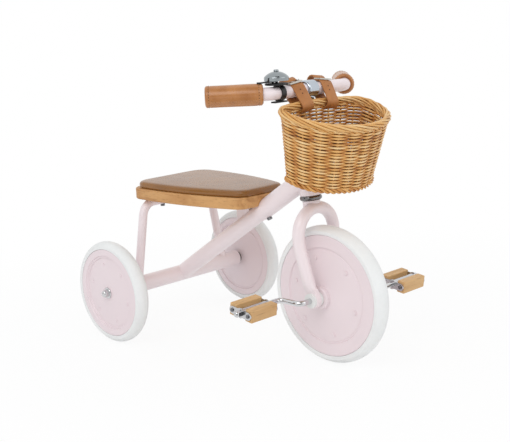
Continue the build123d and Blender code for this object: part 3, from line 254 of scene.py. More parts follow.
class Look:
    """A material with a Principled shader and a few helpers for its nodes."""

    def __init__(self, name, rough=0.5, metal=0.0, **sockets):
        self.mat = bpy.data.materials.new(name)
        self.mat.use_nodes = True
        self.tree = self.mat.node_tree
        self.bsdf = self.tree.nodes["Principled BSDF"]
        self.bsdf.inputs["Roughness"].default_value = rough
        self.bsdf.inputs["Metallic"].default_value = metal
        for socket, value in sockets.items():
            self.bsdf.inputs[socket.replace("_", " ")].default_value = value
        self.height = None

    def add(self, kind, **settings):
        node = self.tree.nodes.new(kind)
        for key, value in settings.items():
            setattr(node, key, value)
        return node

    def link(self, a, b):
        self.tree.links.new(a, b)

    def coords(self, scale=(1, 1, 1), attribute=None):
        if attribute:
            source = self.add("ShaderNodeAttribute", attribute_name=attribute).outputs["Vector"]
        else:
            source = self.add("ShaderNodeTexCoord").outputs["Object"]
        mapping = self.add("ShaderNodeMapping")
        mapping.inputs["Scale"].default_value = scale
        self.link(source, mapping.inputs["Vector"])
        return mapping.outputs["Vector"]

    def noise(self, scale, detail=3.0, rough=0.5, stretch=(1, 1, 1), attribute=None, distort=0.0):
        node = self.add("ShaderNodeTexNoise")
        node.inputs["Scale"].default_value = scale
        node.inputs["Detail"].default_value = detail
        node.inputs["Roughness"].default_value = rough
        node.inputs["Distortion"].default_value = distort
        self.link(self.coords(stretch, attribute), node.inputs["Vector"])
        return node.outputs["Fac"]

    def cells(self, scale):
        node = self.add("ShaderNodeTexVoronoi", feature="F1")
        node.inputs["Scale"].default_value = scale
        self.link(self.coords(), node.inputs["Vector"])
        return node.outputs["Distance"]

    def ramp(self, fac, stops):
        node = self.add("ShaderNodeValToRGB")
        ramp = node.color_ramp
        while len(ramp.elements) < len(stops):
            ramp.elements.new(0.5)
        for element, (place, colour) in zip(ramp.elements, stops):
            element.position = place
            element.color = colour
        self.link(fac, node.inputs["Fac"])
        return node.outputs["Color"]

    def mask(self, fac, low, high, strength):
        """Nothing below low, rising to the given strength at high."""
        return self.ramp(fac, [(low, grey(0.0)), (high, grey(strength))])

    def spread(self, fac, low, high):
        node = self.add("ShaderNodeMapRange")
        node.inputs["To Min"].default_value = low
        node.inputs["To Max"].default_value = high
        self.link(fac, node.inputs["Value"])
        return node.outputs["Result"]

    def mix(self, fac, a, b, blend="MIX"):
        node = self.add("ShaderNodeMix", data_type="RGBA", blend_type=blend)
        for socket, value in ((node.inputs[0], fac), (node.inputs[6], a), (node.inputs[7], b)):
            if isinstance(value, bpy.types.NodeSocket):
                self.link(value, socket)
            else:
                socket.default_value = value
        return node.outputs[2]

    def colour(self, socket):
        self.link(socket, self.bsdf.inputs["Base Color"])

    def roughness(self, socket):
        self.link(socket, self.bsdf.inputs["Roughness"])

    def bump(self, height, strength, distance):
        node = self.add("ShaderNodeBump")
        node.inputs["Strength"].default_value = strength
        node.inputs["Distance"].default_value = distance
        self.link(height, node.inputs["Height"])
        if self.height is not None:
            self.link(self.height, node.inputs["Normal"])
        self.height = node.outputs["Normal"]
        self.link(self.height, self.bsdf.inputs["Normal"])


def paint_look(name, colour, rough=0.32):
    """Gloss powder coat: a faint orange peel and hardly any change of tone."""
    look = Look(name, rough, Coat_Weight=0.25, Coat_Roughness=0.18)
    look.colour(look.ramp(look.noise(9, 2), [(0.3, shade(colour, 0.97)), (0.7, colour)]))
    look.roughness(look.spread(look.noise(55, 3), rough - 0.06, rough + 0.08))
    look.bump(look.noise(900, 2), 0.06, 0.0004)
    return look.mat


def moulded_look(name, colour, rough=0.38):
    """Injection-moulded plastic with soft flow marks and a fine spark-eroded grain."""
    look = Look(name, rough)
    look.colour(look.ramp(look.noise(14, 3), [(0.25, shade(colour, 0.965)), (0.75, colour)]))
    look.roughness(look.spread(look.noise(40, 4), rough - 0.07, rough + 0.1))
    look.bump(look.noise(1300, 2), 0.05, 0.0003)
    return look.mat


def rubber_look(name, colour):
    """White tyre rubber: matt, with a dusty tone and a fine cloth-like grain."""
    look = Look(name, 0.62)
    dust = look.ramp(look.noise(22, 5, 0.6), [(0.2, shade(colour, 0.94)), (0.6, colour)])
    specks = look.mask(look.noise(160, 4), 0.45, 0.75, 0.35)
    look.colour(look.mix(specks, dust, shade(colour, 0.93)))
    look.roughness(look.spread(look.noise(60, 3), 0.5, 0.72))
    look.bump(look.noise(1100, 3), 0.12, 0.0004)
    return look.mat


def wood_look(name, pale, dark, stretch, rough=0.45):
    """Oiled hardwood: long fibres, growth bands and short pores along one direction."""
    look = Look(name, rough)
    bands = look.noise(38, 4, 0.6, stretch, distort=0.8)
    tone = look.ramp(bands, [(0.28, dark), (0.5, pale), (0.72, shade(pale, 1.08)), (0.9, dark)])
    fibre = look.noise(170, 5, 0.7, stretch)
    tone = look.mix(look.spread(fibre, 0.0, 0.55), tone, shade(dark, 0.9))
    pores = look.noise(420, 2, 0.5, stretch)
    look.colour(look.mix(look.mask(pores, 0.60, 0.72, 0.5), tone, shade(dark, 0.6)))
    look.roughness(look.spread(fibre, rough - 0.08, rough + 0.15))
    look.bump(fibre, 0.15, 0.0005)
    look.bump(pores, 0.12, 0.0004)
    return look.mat


def leather_look(name, colour, dark, rough, grain, bump=0.18):
    """Pebbled leather with a little wear and colour drift."""
    look = Look(name, rough)
    drift = look.noise(26, 5, 0.6)
    tone = look.ramp(drift, [(0.25, dark), (0.6, colour), (0.85, shade(colour, 1.12))])
    pebble = look.cells(grain)
    look.colour(look.mix(look.mask(pebble, 0.0, 0.7, 0.3), tone, dark))
    look.roughness(look.spread(look.noise(120, 3), rough - 0.08, rough + 0.14))
    look.bump(pebble, bump, 0.0004)
    look.bump(look.noise(240, 4), bump * 0.6, 0.0005)
    return look.mat


def cover_look(name, colour, dark, rough):
    """A smooth, oiled leather cover: slow drifts of tone and a satin polish."""
    look = Look(name, rough)
    drift = look.noise(14, 4, 0.5)
    look.colour(look.ramp(drift, [(0.25, dark), (0.6, colour), (0.85, shade(colour, 1.08))]))
    look.roughness(look.spread(look.noise(40, 3), rough - 0.05, rough + 0.05))
    return look.mat


def metal_look(name, colour, rough, stretch=(1, 1, 1), streak=0.06):
    """Bare or plated metal with fine streaks in its polish."""
    look = Look(name, rough, 1.0)
    look.colour(look.ramp(look.noise(30, 3), [(0.3, shade(colour, 0.9)), (0.7, colour)]))
    polish = look.noise(220, 4, 0.6, stretch)
    look.roughness(look.spread(polish, max(0.02, rough - streak), rough + streak))
    look.bump(look.noise(700, 2, 0.5, stretch), 0.03, 0.0003)
    return look.mat


def wicker_look(name):
    """Peeled willow: each rod has its own tone and long fibres, and painted shade on its hidden sides."""
    look = Look(name, 0.42)
    tone = look.add("ShaderNodeAttribute", attribute_name="tone").outputs["Fac"]
    # The tone attribute carries the willow's own tone and the painted shade; the lowest stop is the colour
    # of that shade.
    rods = look.ramp(tone, [(0.0, lin(100, 50, 14)), (0.3, lin(198, 134, 62)),
                            (0.65, lin(240, 190, 112)), (1.0, lin(255, 226, 168))])
    fibre = look.noise(1.0, 4, 0.65, (60, 3.2, 7), attribute="strand")
    rods = look.mix(look.spread(fibre, 0.0, 0.55), rods, lin(188, 128, 70), "MULTIPLY")
    stains = look.mask(look.noise(55, 4, 0.6), 0.55, 0.8, 0.5)
    look.colour(look.mix(stains, rods, lin(150, 90, 40)))
    look.roughness(look.spread(fibre, 0.28, 0.55))
    look.bump(fibre, 0.25, 0.0004)
    return look.mat


PAINT = paint_look("pink_powder_coat", lin(243, 230, 232))
DISC = moulded_look("pink_moulding", lin(238, 223, 226))
TYRE = rubber_look("white_rubber", lin(240, 241, 240))
PLANK = wood_look("seat_ash", lin(222, 172, 112), lin(176, 118, 62), (0.12, 1.0, 1.0))
PEDAL_WOOD = wood_look("pedal_beech", lin(222, 182, 128), lin(190, 144, 90), (1.0, 0.1, 1.0))
PAD = cover_look("pad_leather", lin(146, 98, 46), lin(132, 86, 38), 0.26)
GRIP = leather_look("grip_leather", lin(194, 134, 82), lin(162, 104, 58), 0.24, 900, 0.025)
STRAP = leather_look("strap_leather", lin(190, 126, 68), lin(158, 98, 48), 0.5, 1000, 0.12)
THREAD = leather_look("waxed_thread", lin(206, 158, 112), lin(176, 126, 82), 0.6, 2600)
WICKER = wicker_look("willow")
CHROME = metal_look("chrome", (0.66, 0.66, 0.67, 1), 0.07)
SILVER = metal_look("satin_alloy", (0.52, 0.57, 0.63, 1), 0.14, (1, 0.08, 1))
# The bell's steel has a low reflectance so that it mirrors grey: partly its own colour, partly painted dark
# reflection.
BELL = metal_look("bell_steel", (0.33, 0.36, 0.375, 1), 0.11, (1, 1, 0.1))
# Painted dark reflection: the headset ring is chrome like the pieces above, with its reflectance set far
# lower so that it mirrors dark.
RING_DARK_REFLECTION = metal_look("ring_chrome_dark_reflection", (0.20, 0.19, 0.19, 1), 0.06)
STEEL = metal_look("zinc_plate", (0.62, 0.62, 0.63, 1), 0.24)
BRASSY = metal_look("buckle_nickel", (0.58, 0.55, 0.50, 1), 0.22)
DARK = metal_look("black_oxide", (0.06, 0.06, 0.065, 1), 0.38)
GREY = metal_look("grey_bolt", (0.20, 0.20, 0.21, 1), 0.34)
BLACK = moulded_look("black_moulding", lin(30, 31, 33), 0.45)
WHITE = moulded_look("white_moulding", lin(236, 236, 234), 0.42)
# Painted shade: the dark of the stitch holes and strap holes, which are drawn as flat dots.
HOLE_SHADE = moulded_look("painted_hole_shade", lin(70, 40, 20), 0.8)
DARK_CARD = moulded_look("studio_card", lin(26, 26, 28), 0.9)

NODE_LOOKS = {
    PAINT: ["axle_tube", "main_tube", "upper_tube", "head_tube", "seat_hoop", "seat_bracket", "fork",
            "steerer_tube", "handlebar"],
    DISC: ["front_disc_right", "front_disc_left", "front_disc_screws", "right_rear_disc_outer",
           "right_rear_disc_inner", "left_rear_disc_outer", "left_rear_disc_inner"],
    TYRE: ["front_tyre", "right_rear_tyre", "left_rear_tyre"],
    PLANK: ["seat_plank"],
    PEDAL_WOOD: ["right_pedal_blocks", "left_pedal_blocks"],
    CHROME: ["rear_axle_washers", "rear_axle_nuts", "headset_locknut", "crank_axle", "pedal_cap_nuts"],
    RING_DARK_REFLECTION: ["headset_ring"],
    SILVER: ["stem"],
    BELL: ["bell_dome", "bell_nut"],
    STEEL: ["rear_axle", "stem_wedge", "stem_expander_bolt", "right_pedal_plates", "left_pedal_plates",
            "right_pedal_sleeve", "left_pedal_sleeve"],
    BRASSY: ["right_buckle", "left_buckle"],
    DARK: ["stem_clamp_bolt"],
    GREY: ["seat_bolts", "frame_clamp_bolt", "right_pedal_screws", "left_pedal_screws"],
    BLACK: ["axle_bushes", "bell_clamp", "bell_base", "bell_lever"],
    WHITE: ["headset_bushes", "fork_bearings"],
    PAD: ["seat_pad"],
    GRIP: ["right_grip", "left_grip"],
    STRAP: ["right_strap", "left_strap"],
    WICKER: ["basket"],
}


def dress_nodes():
    for look, names in NODE_LOOKS.items():
        for name in names:
            NODES[name].data.materials.clear()
            NODES[name].data.materials.append(look)


def make_object(name, bm, look, body, replaces=(), slot=None):
    mesh = bpy.data.meshes.new(name)
    bm.to_mesh(mesh)
    bm.free()
    mesh.materials.append(look)
    mesh.polygons.foreach_set("use_smooth", [True] * len(mesh.polygons))
    obj = bpy.data.objects.new(name, mesh)
    bpy.context.scene.collection.objects.link(obj)
    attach(obj, body)
    if replaces:
        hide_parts(*replaces)
    return obj


def join_rings(bm, a, b):
    """A band of faces between two rings of as many vertices."""
    count = len(a)
    for k in range(count):
        bm.faces.new((a[k], a[(k + 1) % count], b[(k + 1) % count], b[k]))


def skin(bm, rings, closed):
    """Faces along a row of rings, which returns to its start or is capped at both ends."""
    for a, b in zip(rings, rings[1:]):
        join_rings(bm, a, b)
    if closed:
        join_rings(bm, rings[-1], rings[0])
    else:
        bm.faces.new(list(reversed(rings[0])))
        bm.faces.new(rings[-1])


class Strands:
    """Collects tubes into one mesh, with a tone and running coordinates for the willow's shader."""

    def __init__(self):
        self.bm = bmesh.new()
        self.tone = self.bm.verts.layers.float.new("tone")
        self.strand = self.bm.verts.layers.float_vector.new("strand")

    def tube(self, centres, outs, ups, radii, tone, closed, sides=7, swings=None):
        """Rings of vertices about the centres; outs and ups span each ring, radii are (out, up) pairs.

        Swings say how far a woven rod lies outside (1) or inside (-1): painted shade darkens the rod's side
        that faces into the wall, and its upper and lower sides half as much.
        """
        rings = []
        run = 0.0
        offset = random.random() * FIBRE_SHIFT
        for i, centre in enumerate(centres):
            if i:
                run += (centre - centres[i - 1]).length
            ring = []
            for k in range(sides):
                turn = 2 * math.pi * k / sides
                out = outs[i] * (radii[i][0] * math.cos(turn))
                up = ups[i] * (radii[i][1] * math.sin(turn))
                vert = self.bm.verts.new(centre + out + up)
                value = tone[i] if isinstance(tone, list) else tone
                # Painted shade on the rod's hidden side.
                if swings:
                    value -= WEAVE_PAINTED_SHADE * (1 - swings[i] * math.cos(turn)) / 2
                vert[self.tone] = min(1.0, max(0.0, value))
                vert[self.strand] = Vector((offset + k / sides, run, offset))
                ring.append(vert)
            rings.append(ring)
        skin(self.bm, rings, closed)

    def finish(self, name, look, body, **kw):
        bmesh.ops.recalc_face_normals(self.bm, faces=self.bm.faces)
        make_object(name, self.bm, look, body, **kw)


def sized(size):
    """A tube's pair of radii in metres."""
    return (size[0] * MM, size[1] * MM)


def arc_points(centre, radius, start, end, count):
    turns = [start + (end - start) * i / count for i in range(count + 1)]
    return [(centre[0] + radius * math.cos(t), centre[1] + radius * math.sin(t)) for t in turns]


def evenly(points, count):
    """The points of a closed line at equal distances, with the normal on the right of the way at each."""
    loop = points + [points[0]]
    lengths = [math.dist(a, b) for a, b in zip(loop, loop[1:])]
    total = sum(lengths)
    result = []
    index, passed = 0, 0.0
    for i in range(count):
        want = total * i / count
        while passed + lengths[index] < want:
            passed += lengths[index]
            index += 1
        a, b = loop[index], loop[index + 1]
        part = (want - passed) / lengths[index] if lengths[index] else 0
        along = ((b[0] - a[0]) / lengths[index], (b[1] - a[1]) / lengths[index])
        result.append((a[0] + (b[0] - a[0]) * part, a[1] + (b[1] - a[1]) * part, along[1], -along[0]))
    return result


BASKET_X = Vector((math.cos(BASKET_TILT), 0, -math.sin(BASKET_TILT)))
BASKET_Y = Vector((0, 1, 0))
BASKET_Z = Vector((math.sin(BASKET_TILT), 0, math.cos(BASKET_TILT)))
FOOT_ORIGIN = Vector(((REAR_X + FOOT_AHEAD) * MM, 0, FOOT_UP * MM))
RIM_ORIGIN = Vector(((REAR_X + RIM_AHEAD) * MM, 0, RIM_UP * MM)) - BASKET_Z * (WALL_INSET * MM)


def bowed_end(reach, side, corner, bow):
    """Half of a bowed end with a rounded corner, from the side to the middle of the end."""
    big = (side * side + bow * bow) / (2 * bow)
    centre = reach - big
    x = centre + math.sqrt((big - corner) ** 2 - (side - corner) ** 2)
    meet = math.atan2(side - corner, x - centre)
    line = arc_points((x, side - corner), corner, math.pi / 2, meet, PLAN_STEPS)
    return line + arc_points((centre, 0), big, meet, 0, PLAN_STEPS)[1:]


def basket_plan(level, inset):
    """The basket's plan in millimetres at a level from the foot, 0, to the rim, 1."""
    sizes = (a + (b - a) * level for a, b in zip(FOOT_SIZES, RIM_SIZES))
    depth, half, back_corner, back_bow, front_corner, front_bow = sizes
    side = half - inset
    back = bowed_end(-inset, side, back_corner - inset, back_bow)
    half_line = [(-x, y) for x, y in reversed(back)]
    half_line += bowed_end(depth - inset, side, front_corner - inset, front_bow)
    mirrored = [(x, -y) for x, y in reversed(half_line[1:-1])]
    return half_line + mirrored


def basket_ring(level, inset, count):
    """Points and outward directions round the basket at a level."""
    origin = FOOT_ORIGIN.lerp(RIM_ORIGIN, level)
    ring = []
    for u, v, nu, nv in evenly(basket_plan(level, inset), count):
        place = origin + BASKET_X * (u * MM) + BASKET_Y * (v * MM)
        ring.append((place, -(BASKET_X * nu + BASKET_Y * nv)))
    return ring


def wander(count, step, rng):
    """A smooth closed run of random values from -1 to 1."""
    knots = [rng.uniform(-1, 1) for _ in range(max(3, count // step))]
    values = []
    for i in range(count):
        t = i * len(knots) / count
        a, b = knots[int(t) % len(knots)], knots[(int(t) + 1) % len(knots)]
        f = t - int(t)
        values.append(a + (b - a) * f * f * (3 - 2 * f))
    return values


def weave_row(weave, rng, row):
    """One rod round the basket, outside and inside the stakes in turn and thickest where it crosses them."""
    count = STAKES * STAKE_POINTS
    level = ROW_START + ROW_SPAN * row / (ROWS - 1)
    ring = basket_ring(level, WALL_INSET, count)
    lift = wander(count, ROD_LIFT_RUN, rng)
    thick = wander(count, ROD_SIZE_RUN, rng)
    tones = wander(count, ROD_TONE_RUN, rng)
    base = rng.uniform(*ROD_TONES)
    centres, outs, ups, radii, tone, swings = [], [], [], [], [], []
    for i, (place, out) in enumerate(ring):
        swing = math.cos(math.pi * i / STAKE_POINTS + math.pi * (row % 2))
        centres.append(place + out * (ROD_SWING * MM * swing) + BASKET_Z * (ROD_LIFT * MM * lift[i]))
        outs.append(out)
        ups.append(BASKET_Z)
        size = 1 + ROD_UNEVEN * thick[i]
        radii.append(sized((ROD_DEPTH * size, (ROD_HEIGHT + ROD_BELLY * swing * swing) * size)))
        tone.append(base + ROD_TONE_DRIFT * tones[i])
        swings.append(swing)
    weave.tube(centres, outs, ups, radii, tone, True, ROD_SIDES, swings)


def weave_stake(weave, rng, stake):
    """One upright, from the foot to the rim."""
    centres, outs, ups = [], [], []
    for step in range(STAKE_STEPS + 1):
        level = STAKE_START + STAKE_SPAN * step / STAKE_STEPS
        place, out = basket_ring(level, WALL_INSET, STAKES)[stake]
        centres.append(place)
        outs.append(out)
        ups.append(BASKET_Z.cross(out).normalized())
    radii = [sized(STAKE_SIZE)] * len(centres)
    weave.tube(centres, outs, ups, radii, rng.uniform(*STAKE_TONES_AND_SHADE), False)


def rope(weave, rng, level, inset, rise, strands, spread, radius, turns, count):
    """A twisted border: strands that wind round the basket's line a whole number of times."""
    ring = basket_ring(level, inset, count)
    for strand in range(strands):
        start = 2 * math.pi * strand / strands
        tones = wander(count, ROPE_TONE_RUN, rng)
        sizes = wander(count, ROPE_SIZE_RUN, rng)
        base = rng.uniform(*ROPE_TONES)
        centres, outs, ups, radii, tone = [], [], [], [], []
        for i, (place, out) in enumerate(ring):
            turn = start + 2 * math.pi * turns * i / count
            side = out * math.cos(turn) + BASKET_Z * math.sin(turn)
            centres.append(place + BASKET_Z * (rise * MM) + side * (spread * MM))
            outs.append(side)
            along = (ring[(i + 1) % count][0] - ring[i - 1][0]).normalized()
            ups.append(along.cross(side).normalized())
            size = radius * (1 + ROPE_UNEVEN * sizes[i])
            radii.append(sized((size, size)))
            tone.append(base + ROPE_TONE_DRIFT * tones[i])
        weave.tube(centres, outs, ups, radii, tone, True)


def rim_core(weave):
    """The filling inside the rim's rope, given almost the lowest tone: painted shade between the rope's
    strands.
    """
    places, outs = zip(*basket_ring(1.0, WALL_INSET, RIM_CORE_POINTS))
    ups = [BASKET_Z] * RIM_CORE_POINTS
    radii = [sized((RIM_CORE_R, RIM_CORE_R))] * RIM_CORE_POINTS
    weave.tube(places, outs, ups, radii, RIM_CORE_SHADE_TONE, True)


def weave_floor(weave, rng):
    """The woven base: rods across, over and under sticks that run forward."""
    plan = basket_plan(FLOOR_LEVEL, FLOOR_INSET)
    origin = FOOT_ORIGIN + BASKET_Z * (FLOOR_RISE * MM)
    depth = max(x for x, _ in plan)

    def place(x, y):
        return origin + BASKET_X * (x * MM) + BASKET_Y * (y * MM)

    for row in range(int(depth // FLOOR_PITCH)):
        x = FLOOR_START + row * FLOOR_PITCH
        reach = half_width(plan, x)
        if reach < FLOOR_LEAST_REACH:
            continue
        steps = max(FLOOR_LEAST_STEPS, int(2 * reach / FLOOR_STEP))
        centres = []
        for i in range(steps + 1):
            y = -reach + 2 * reach * i / steps
            swing = math.cos(math.pi * y / STICK_PITCH + math.pi * (row % 2))
            centres.append(place(x, y) + BASKET_Z * (FLOOR_SWING * MM * swing))
        count = len(centres)
        radii = [sized(FLOOR_ROD_SIZE)] * count
        tone = rng.uniform(*FLOOR_ROD_TONES)
        weave.tube(centres, [BASKET_Z] * count, [BASKET_X] * count, radii, tone, False, ROD_SIDES)
    for y in range(-STICK_REACH, STICK_REACH + 1, STICK_PITCH):
        xs = [x for x in range(STICK_START, int(depth) + 1, STICK_STEP)
              if half_width(plan, x) > abs(y) + STICK_MARGIN]
        centres = [place(x, y) for x in (xs[0], (xs[0] + xs[-1]) / 2, xs[-1])]
        count = len(centres)
        radii = [sized(STICK_SIZE)] * count
        tone = rng.uniform(*STICK_TONES)
        weave.tube(centres, [BASKET_Z] * count, [BASKET_Y] * count, radii, tone, False, ROD_SIDES)


def half_width(plan, x):
    """Half of the plan's width at a distance from its back."""
    best = 0.0
    for (xa, ya), (xb, yb) in zip(plan, plan[1:]):
        if min(xa, xb) <= x <= max(xa, xb) and xa != xb:
            best = max(best, abs(ya + (yb - ya) * (x - xa) / (xb - xa)))
    return best


def build_basket():
    rng = random.Random(ROD_SEED)
    random.seed(FIBRE_SEED)
    weave = Strands()
    for row in range(ROWS):
        weave_row(weave, rng, row)
    for stake in range(STAKES):
        weave_stake(weave, rng, stake)
    rope(weave, rng, **RIM_ROPE)
    rim_core(weave)
    rope(weave, rng, **FOOT_ROPE)
    rope(weave, rng, **WALE_ROPE)
    weave_floor(weave, rng)
    weave.finish("basket_weave", WICKER, "steering", replaces=("basket",), slot="wicker")


def seat_plan(inset, count):
    """The seat's plan, drawn in by the inset: a flat back, bowed sides and front, round corners."""
    rear = REAR_X - SEAT_BEHIND + PAD_AHEAD + inset
    front = REAR_X + SEAT_AHEAD + PAD_AHEAD - inset
    rear_half, front_half = SEAT_REAR_HALF - inset, SEAT_FRONT_HALF - inset
    bulge = ((rear + front) / 2, (rear_half + front_half) / 2 + SEAT_SIDE_BULGE)
    sx, sy, big = circle((rear, rear_half), bulge, (front, front_half))
    fx, _, nose = circle((front, front_half), (front + SEAT_NOSE, 0), (front, -front_half))
    r1, r2 = SEAT_REAR_CORNER, SEAT_FRONT_CORNER
    c1 = (rear + r1, sy + math.sqrt((big - r1) ** 2 - (rear + r1 - sx) ** 2))
    c2 = circles_meet((sx, sy, big - r2), (fx, 0, nose - r2))
    a1 = math.atan2(c1[1] - sy, c1[0] - sx)
    a2 = math.atan2(c2[1] - sy, c2[0] - sx)
    a3 = math.atan2(c2[1], c2[0] - fx)
    line = [(rear, 0.0)]
    line += arc_points(c1, r1, math.pi, a1, SEAT_CORNER_STEPS)
    line += arc_points((sx, sy), big, a1, a2, SEAT_SIDE_STEPS)[1:]
    line += arc_points(c2, r2, a2, a3, SEAT_CORNER_STEPS)[1:]
    line += arc_points((fx, 0), nose, a3, 0, SEAT_NOSE_STEPS)[1:]
    line += [(x, -y) for x, y in reversed(line[1:-1])]
    return [(x, y) for x, y, _, _ in evenly(line, count)]


def circle(a, b, c):
    """Centre and radius of the circle through three points."""
    d = 2 * (a[0] * (b[1] - c[1]) + b[0] * (c[1] - a[1]) + c[0] * (a[1] - b[1]))
    sq = [p[0] ** 2 + p[1] ** 2 for p in (a, b, c)]
    x = (sq[0] * (b[1] - c[1]) + sq[1] * (c[1] - a[1]) + sq[2] * (a[1] - b[1])) / d
    y = (sq[0] * (c[0] - b[0]) + sq[1] * (a[0] - c[0]) + sq[2] * (b[0] - a[0])) / d
    return x, y, math.dist((x, y), a)


def circles_meet(a, b):
    """Of the two points where two circles cross, the one with the larger y."""
    gap = math.dist(a[:2], b[:2])
    along = (gap * gap + a[2] ** 2 - b[2] ** 2) / (2 * gap)
    across = math.sqrt(max(0.0, a[2] ** 2 - along * along))
    ux, uy = (b[0] - a[0]) / gap, (b[1] - a[1]) / gap
    mx, my = a[0] + ux * along, a[1] + uy * along
    options = [(mx - uy * across, my + ux * across), (mx + uy * across, my - ux * across)]
    return max(options, key=lambda p: p[1])


def build_pad():
    """The padded cover: drawn-in sides, a round shoulder and a low crown with faint dents."""
    bm = bmesh.new()

    def vertex(x, y, rise):
        return bm.verts.new((x * MM, y * MM, SEAT_TOP * MM + rise * MM))

    rings = []
    for inset, rise in PAD_PROFILE:
        rings.append([vertex(x, y, rise) for x, y in seat_plan(inset, PAD_POINTS)])
    last_inset, shoulder = PAD_PROFILE[-1]
    inner = seat_plan(last_inset, PAD_POINTS)
    cx = sum(x for x, _ in inner) / PAD_POINTS
    for share in PAD_CROWN_SHARES:
        rise = shoulder + PAD_CROWN * (1 - share ** 2) ** PAD_CROWN_POWER
        ring = []
        for x, y in inner:
            px, py = cx + (x - cx) * share, y * share
            wave = math.sin(px * PAD_DENT_ALONG + PAD_DENT_START) * math.cos(py * PAD_DENT_ACROSS)
            ring.append(vertex(px, py, rise + PAD_DENT * wave))
        rings.append(ring)
    for a, b in zip(rings, rings[1:]):
        join_rings(bm, a, b)
    top = vertex(cx, 0, shoulder + PAD_CROWN)
    for i in range(PAD_POINTS):
        bm.faces.new((rings[-1][i], rings[-1][(i + 1) % PAD_POINTS], top))
    bm.faces.new(list(reversed(rings[0])))
    bmesh.ops.recalc_face_normals(bm, faces=bm.faces)
    pad = make_object("seat_cushion", bm, PAD, "frame", replaces=("seat_pad",), slot="pad_cover")


BAR = Vector(((REAR_X + BAR_AHEAD) * MM, 0, BAR_UP * MM))


def grip_axes(side):
    """A grip's inner end, its direction, and two directions across it: one level and one up."""
    along = Vector((-math.sin(BAR_SWEEP), side * math.cos(BAR_SWEEP), 0))
    start = BAR + Vector((0, side * BAR_CORNER_OUT * MM, 0)) + along * (GRIP_START * MM)
    up = Vector((0, 0, 1))
    return start, along, up.cross(along) * -side, up


def grip_radius(run):
    """The leather's radius in millimetres along the grip: rolled ends and a slight waist."""
    end = min(run, GRIP_LENGTH - run)
    edge = GRIP_EDGE * max(0.0, 1 - end / GRIP_EDGE_RUN) ** 2
    pucker = GRIP_PUCKER * math.exp(-((end - GRIP_PUCKER_AT) / GRIP_PUCKER_RUN) ** 2)
    half_turn = math.pi * run / GRIP_LENGTH
    swell = GRIP_SWELL * math.sin(half_turn)
    swell += GRIP_WAVE * math.sin(GRIP_WAVES * half_turn + GRIP_WAVE_START)
    return GRIP_R + swell - edge - pucker


def seam_fold(turn):
    """The seam's ridge, with a groove along its middle, in millimetres."""
    gap = abs((turn - SEAM_TURN + math.pi) % (2 * math.pi) - math.pi)
    ridge = SEAM_RIDGE * math.exp(-(gap / SEAM_RIDGE_TURN) ** 2)
    return ridge - SEAM_GROOVE * math.exp(-(gap / SEAM_GROOVE_TURN) ** 2)


def grip_leather(name, axes):
    start, along, across, up = axes
    bm = bmesh.new()
    runs = list(GRIP_END_RUNS)
    runs += [GRIP_MIDDLE_START + GRIP_MIDDLE_STEP * i for i in range(GRIP_MIDDLE_RINGS)]
    runs += [GRIP_LENGTH - run for run in reversed(GRIP_END_RUNS)]
    rings = []
    for run in runs:
        ring = []
        for k in range(GRIP_POINTS):
            turn = 2 * math.pi * k / GRIP_POINTS
            radius = (grip_radius(run) + seam_fold(turn)) * MM
            spoke = across * (radius * math.cos(turn)) + up * (radius * math.sin(turn))
            ring.append(bm.verts.new(start + along * (run * MM) + spoke))
        rings.append(ring)
    for a, b in zip(rings, rings[1:]):
        join_rings(bm, a, b)
    outer = start + along * (GRIP_LENGTH * MM)
    close_end(bm, rings[0], start, GRIP_INNER_HOLE_R * MM, along, GRIP_INNER_DEPTH * MM)
    close_end(bm, rings[-1], outer, GRIP_OUTER_HOLE_R * MM, -along, GRIP_OUTER_DEPTH * MM)
    bmesh.ops.recalc_face_normals(bm, faces=bm.faces)
    make_object(name + "_grip_leather", bm, GRIP, "steering", replaces=(name + "_grip",), slot="grip_cover")


def close_end(bm, ring, centre, radius, inward, depth):
    """Rolls a grip's end in to a smaller ring and closes it."""
    axis = inward.normalized()
    last = ring
    for share, sink in GRIP_ROLL:
        fresh = []
        for v in ring:
            spoke = v.co - centre
            spoke -= axis * spoke.dot(axis)
            size = radius + (spoke.length - radius) * share
            fresh.append(bm.verts.new(centre + spoke.normalized() * size + axis * (depth * sink)))
        join_rings(bm, last, fresh)
        last = fresh
    bm.faces.new(last)


def stitch_hole(holes, axes, run, turn):
    """Where the thread goes in: a flat dark dot that lies on the leather, painted shade in place of a pit.
    """
    start, along, across, up = axes
    spoke = across * math.cos(turn) + up * math.sin(turn)
    around = along.cross(spoke).normalized()
    foot = start + along * (run * MM)
    centres = [foot + spoke * ((grip_radius(run) + rise) * MM) for rise in STITCH_HOLE_RISES]
    radii = [sized((STITCH_HOLE_R, STITCH_HOLE_R))] * 2
    holes.tube(centres, [along] * 2, [around] * 2, radii, 0.0, False, STITCH_HOLE_SIDES)


def stitch(threads, axes, run, turn, length, slant):
    """One short bowed thread across the leather."""
    start, along, across, up = axes
    centres, outs, ups, radii = [], [], [], []
    for i in range(STITCH_STEPS + 1):
        f = i / STITCH_STEPS - 0.5
        angle = turn + f * length / STITCH_TURN_R
        spoke = across * math.cos(angle) + up * math.sin(angle)
        lift = grip_radius(run) + STITCH_BOW * (1 - 4 * f * f)
        centres.append(start + along * ((run + slant * length * f) * MM) + spoke * (lift * MM))
        outs.append(spoke)
        ups.append(along)
        size = STITCH_R * (1 - STITCH_TAPER * f * f)
        radii.append(sized((size, size)))
    threads.tube(centres, outs, ups, radii, STITCH_TONE, False, STITCH_SIDES)


